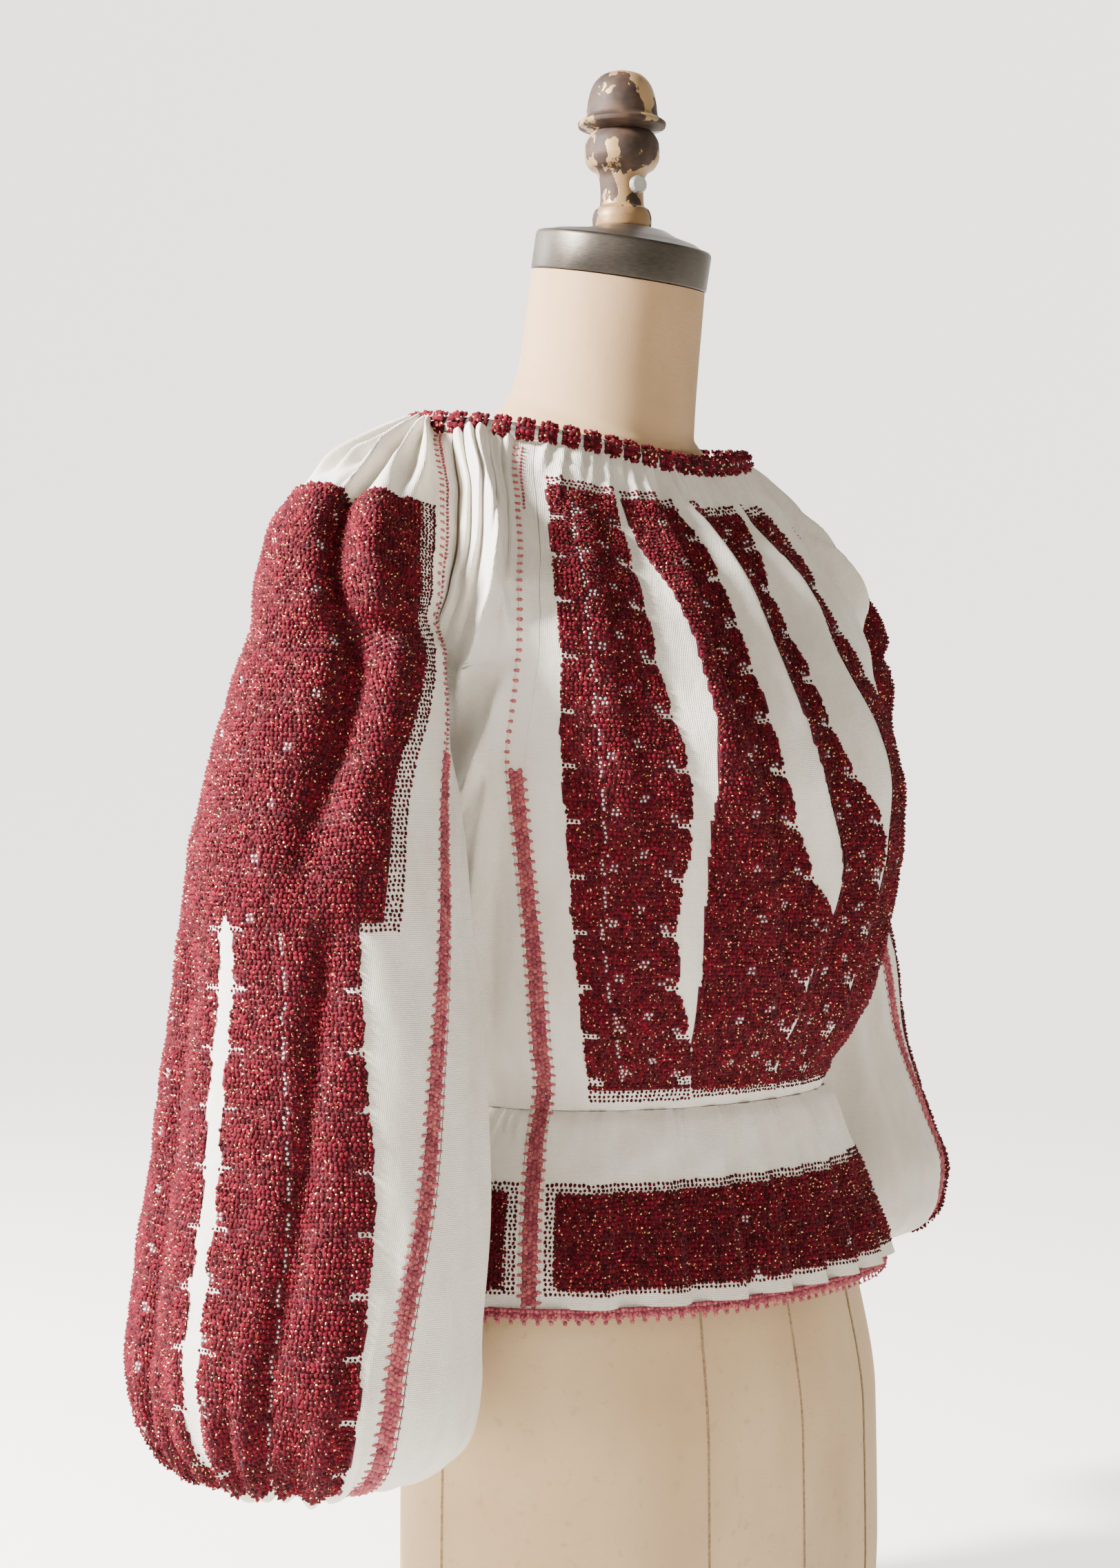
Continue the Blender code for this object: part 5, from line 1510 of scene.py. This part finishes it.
FORM_SIDES = 180
FORM_LEVELS = np.linspace(0, 312, 60)
FORM_DROPS = np.linspace(0.99, 0.0, 60)
SEAM_BEARINGS = (-92, -36, 3, 40, 92, 140, 180, 220)
SEAM_HALF_WIDTH, SEAM_HEIGHT, NECK_SEAM_RING = 0.9, 0.8, 131


def form_rings(angles):
    """Rings of the form from its foot to its neck: hips, the torso under the blouse, shoulders and neck."""
    turn = np.radians(angles)
    rings = []
    for z in FORM_LEVELS:
        centre = read(HIPS, "centre", z)
        reach = oval(angles, read(HIPS, "half_width", z), centre - read(HIPS, "front", z),
                     read(HIPS, "back", z) - centre, 2.1)
        rings.append(around(turn, reach, centre, z))
    for drop in FORM_DROPS:
        normal = torso_normal(angles, drop + 0 * angles)
        rings.append(torso_point(angles, drop) - normal * read(INSET, "depth", drop))
    for row in np.linspace(0, 7, 60):
        half, deep, centre, z, fall = (float(read(NECK, name, row)) for name in list(NECK)[1:])
        rings.append(around(turn, oval(angles, half, deep, deep, 2.0), centre, z - fall * np.cos(turn)))
    return np.array(rings)


def form_seams(rings, angles):
    """Thin ridges where the panels of the form's cover are sewn together."""
    vertices, faces = [], []

    def ridge(line, across, normal):
        first = len(vertices)
        side = across * SEAM_HALF_WIDTH
        vertices.extend(np.stack([line - side, line + normal * SEAM_HEIGHT, line + side], 1).reshape(-1, 3))
        faces.extend((grid_faces(len(line), 3) + first).tolist())

    for bearing in SEAM_BEARINGS:
        k = int(np.argmin(np.abs(angles - bearing % 360)))
        line = rings[1:NECK_SEAM_RING + 1, k]
        normal = np.repeat(outward(angles[k:k + 1]), len(line), 0)
        ridge(line, np.cross(normal, (0, 0, 1.0)), normal)
    collar = rings[NECK_SEAM_RING]
    ridge(collar, np.repeat([[0, 0, 1.0]], len(collar), 0), outward(angles))
    return make_mesh("form_seams", vertices, faces, SEAM_THREAD)


def form():
    angles = np.linspace(0, 360, FORM_SIDES + 1)
    rings = form_rings(angles)
    middle = rings[0].mean(0)
    rings = np.concatenate([(middle + (rings[0] - middle) * 0.001)[None], rings])
    cover = make_mesh("form_cover", rings, grid_faces(len(rings), FORM_SIDES + 1)[:, ::-1], LINEN)
    cut_uv(cover, rings)
    stand_for(cover, "form_linen", "form_torso")
    seams = form_seams(rings, angles)
    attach(seams, "root")


def turned(name, rings, material, inward=False):
    """A mesh through closed rings of points, facing out unless it is a room."""
    faces = grid_faces(len(rings), len(rings[0]), closed=True)
    return make_mesh(name, np.array(rings), faces if inward else faces[:, ::-1], material)


def finial():
    turn = np.linspace(0, 2 * np.pi, 96, endpoint=False)
    profile = [(0.01, 0.0)]
    for row in np.linspace(0, 19, 150):
        profile.append((float(read(FINIAL, "radius", row)), float(read(FINIAL, "z", row))))
    profile.append((0.01, float(FINIAL["z"][-1])))
    rings = [around(turn, radius, FINIAL_Y, FINIAL_Z + z) for radius, z in profile]
    stand_for(turned("finial_turning", rings, GILT), "gold_paint", "finial")


# The cap's rings: radius, height over its lower edge, and how far the ring has come level.
CAP_RINGS = ((CAP_RADIUS - 1.2, 0, 0), (CAP_RADIUS - 0.2, 0.3, 0), (CAP_RADIUS, 1, 0),
             (CAP_RADIUS, CAP_HEIGHT - 3, 0), (CAP_RADIUS - 0.3, CAP_HEIGHT - 1.6, 0),
             (CAP_RADIUS - 1.2, CAP_HEIGHT - 0.6, 0), (CAP_RADIUS - 2.6, CAP_HEIGHT - 0.1, 0),
             (CAP_RADIUS - 5, CAP_HEIGHT + 0.2, 0), (40, CAP_HEIGHT + 1.6, 0.1),
             (30, CAP_HEIGHT + 2.6, 0.3), (24, CAP_HEIGHT + 2.8, 0.7), (19, 0, 1), (0.01, 0, 1))
# Height and centre of its lower edge, its fall to the front over its radius, and its backward lean.
CAP_BASE_Z, CAP_CENTRE, CAP_FALL, CAP_LEAN = 774.95, 1.5, 9.2 * CAP_RADIUS / 48.8, 0.19


def cap():
    turn = np.linspace(0, 2 * np.pi, 128, endpoint=False)
    rings = []
    for radius, rise, level in CAP_RINGS:
        tilt = CAP_FALL * radius / CAP_RADIUS
        z = (CAP_BASE_Z + rise - tilt * np.cos(turn)) * (1 - level) + CAP_TOP_Z * level
        rings.append(around(turn, radius, CAP_CENTRE - rise * CAP_LEAN if level < 1 else FINIAL_Y, z))
    stand_for(turned("cap_shell", rings, STEEL), "grey_steel", "neck_cap")


# Floor, light and camera

ROOM_FLOOR, ROOM_BEND, ROOM_TOP = 3000, 3000, 7000
AIM_Z = 0.45
# Name, bearing in degrees round the form from its front towards the wearer's left, height, distance and
# size in metres, power in watts, and colour.
LIGHTS = (("key_window", -120, 1.8, 2.1, 0.5, 560, (1.0, 0.99, 0.97)),
          ("back_window", -170, 1.4, 2.4, 1.0, 60, (1.0, 0.99, 0.97)),
          ("front_fill", -62, 1.6, 2.8, 1.0, 12, (1.0, 0.90, 0.80)))


def studio():
    """A round room whose floor bends up into its wall and glows as painted light, its lights and a faint
    warm world.
    """
    turn = np.linspace(0, 2 * np.pi, 96, endpoint=False)
    rings = [around(turn, 0.5, 0, 0), around(turn, ROOM_FLOOR, 0, 0)]
    for k in range(1, 13):
        bend = k / 12 * np.pi / 2
        rings.append(around(turn, ROOM_FLOOR + ROOM_BEND * np.sin(bend), 0, ROOM_BEND * (1 - np.cos(bend))))
    rings.append(around(turn, ROOM_FLOOR + ROOM_BEND, 0, ROOM_TOP))
    # The floor and wall glow with painted light.
    turned("studio_floor", rings, glowing_stage_material(), inward=True)
    world = bpy.data.worlds.new("studio")
    bpy.context.scene.world = world
    world.use_nodes = True
    background = world.node_tree.nodes["Background"]
    background.inputs["Color"].default_value = (1.0, 0.84, 0.70, 1)
    background.inputs["Strength"].default_value = 0.10
    for name, bearing, height, distance, size, power, colour in LIGHTS:
        data = bpy.data.lights.new(name, "AREA")
        data.shape, data.size, data.energy, data.color = "DISK", size, power, colour
        turn = math.radians(bearing)
        place = np.array([math.sin(turn) * distance, -math.cos(turn) * distance, height])
        aim_thing(bpy.data.objects.new(name, data), place, (0, 0, AIM_Z) - place)


def aim_thing(thing, place, aim):
    """Sets a light or camera in the scene and points its -Z along aim."""
    thing.location = place
    flat = math.hypot(aim[0], aim[1])
    up, round_z = math.atan2(aim[2], flat), math.atan2(aim[1], aim[0])
    thing.rotation_euler = (math.pi / 2 + up, 0, round_z - math.pi / 2)
    bpy.context.scene.collection.objects.link(thing)


# The camera is level and looks from the wearer's right. Its focal length is in the photograph's pixels.
CAMERA_TURN = -50.0
CAMERA_DISTANCE, CAMERA_OFFSET, CAMERA_Z = 1600.0, 34.3, 490.0
PHOTO_LONG_SIDE, FOCAL_PIXELS, SENSOR = 2274, 4100, 36.0


def camera():
    turn = math.radians(CAMERA_TURN)
    ahead = np.array([-math.sin(turn), math.cos(turn), 0])
    right = np.array([math.cos(turn), math.sin(turn), 0])
    data = bpy.data.cameras.new("camera")
    data.sensor_fit = "VERTICAL"
    data.sensor_height = data.sensor_width = SENSOR
    data.lens = FOCAL_PIXELS / PHOTO_LONG_SIDE * SENSOR
    data.clip_end = 50
    thing = bpy.data.objects.new("camera", data)
    place = -CAMERA_DISTANCE * ahead - CAMERA_OFFSET * right + np.array([0, 0, CAMERA_Z]) + SHIFT / MM
    aim_thing(thing, place * MM, ahead)
    bpy.context.scene.camera = thing


camera()
studio()
form()
cap()
finial()
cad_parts["finial_set_screw"].material_slots[0].material = SCREW_STEEL
front_panel()
back_panel()
for label, side, tube in SIDES:
    side_panel(label, side)
    body_strip("front_strip", label, side)
    body_strip("back_strip", label, side)
    sleeve_pieces(label, side, tube)
peplums()
hem_edging()
neckband()
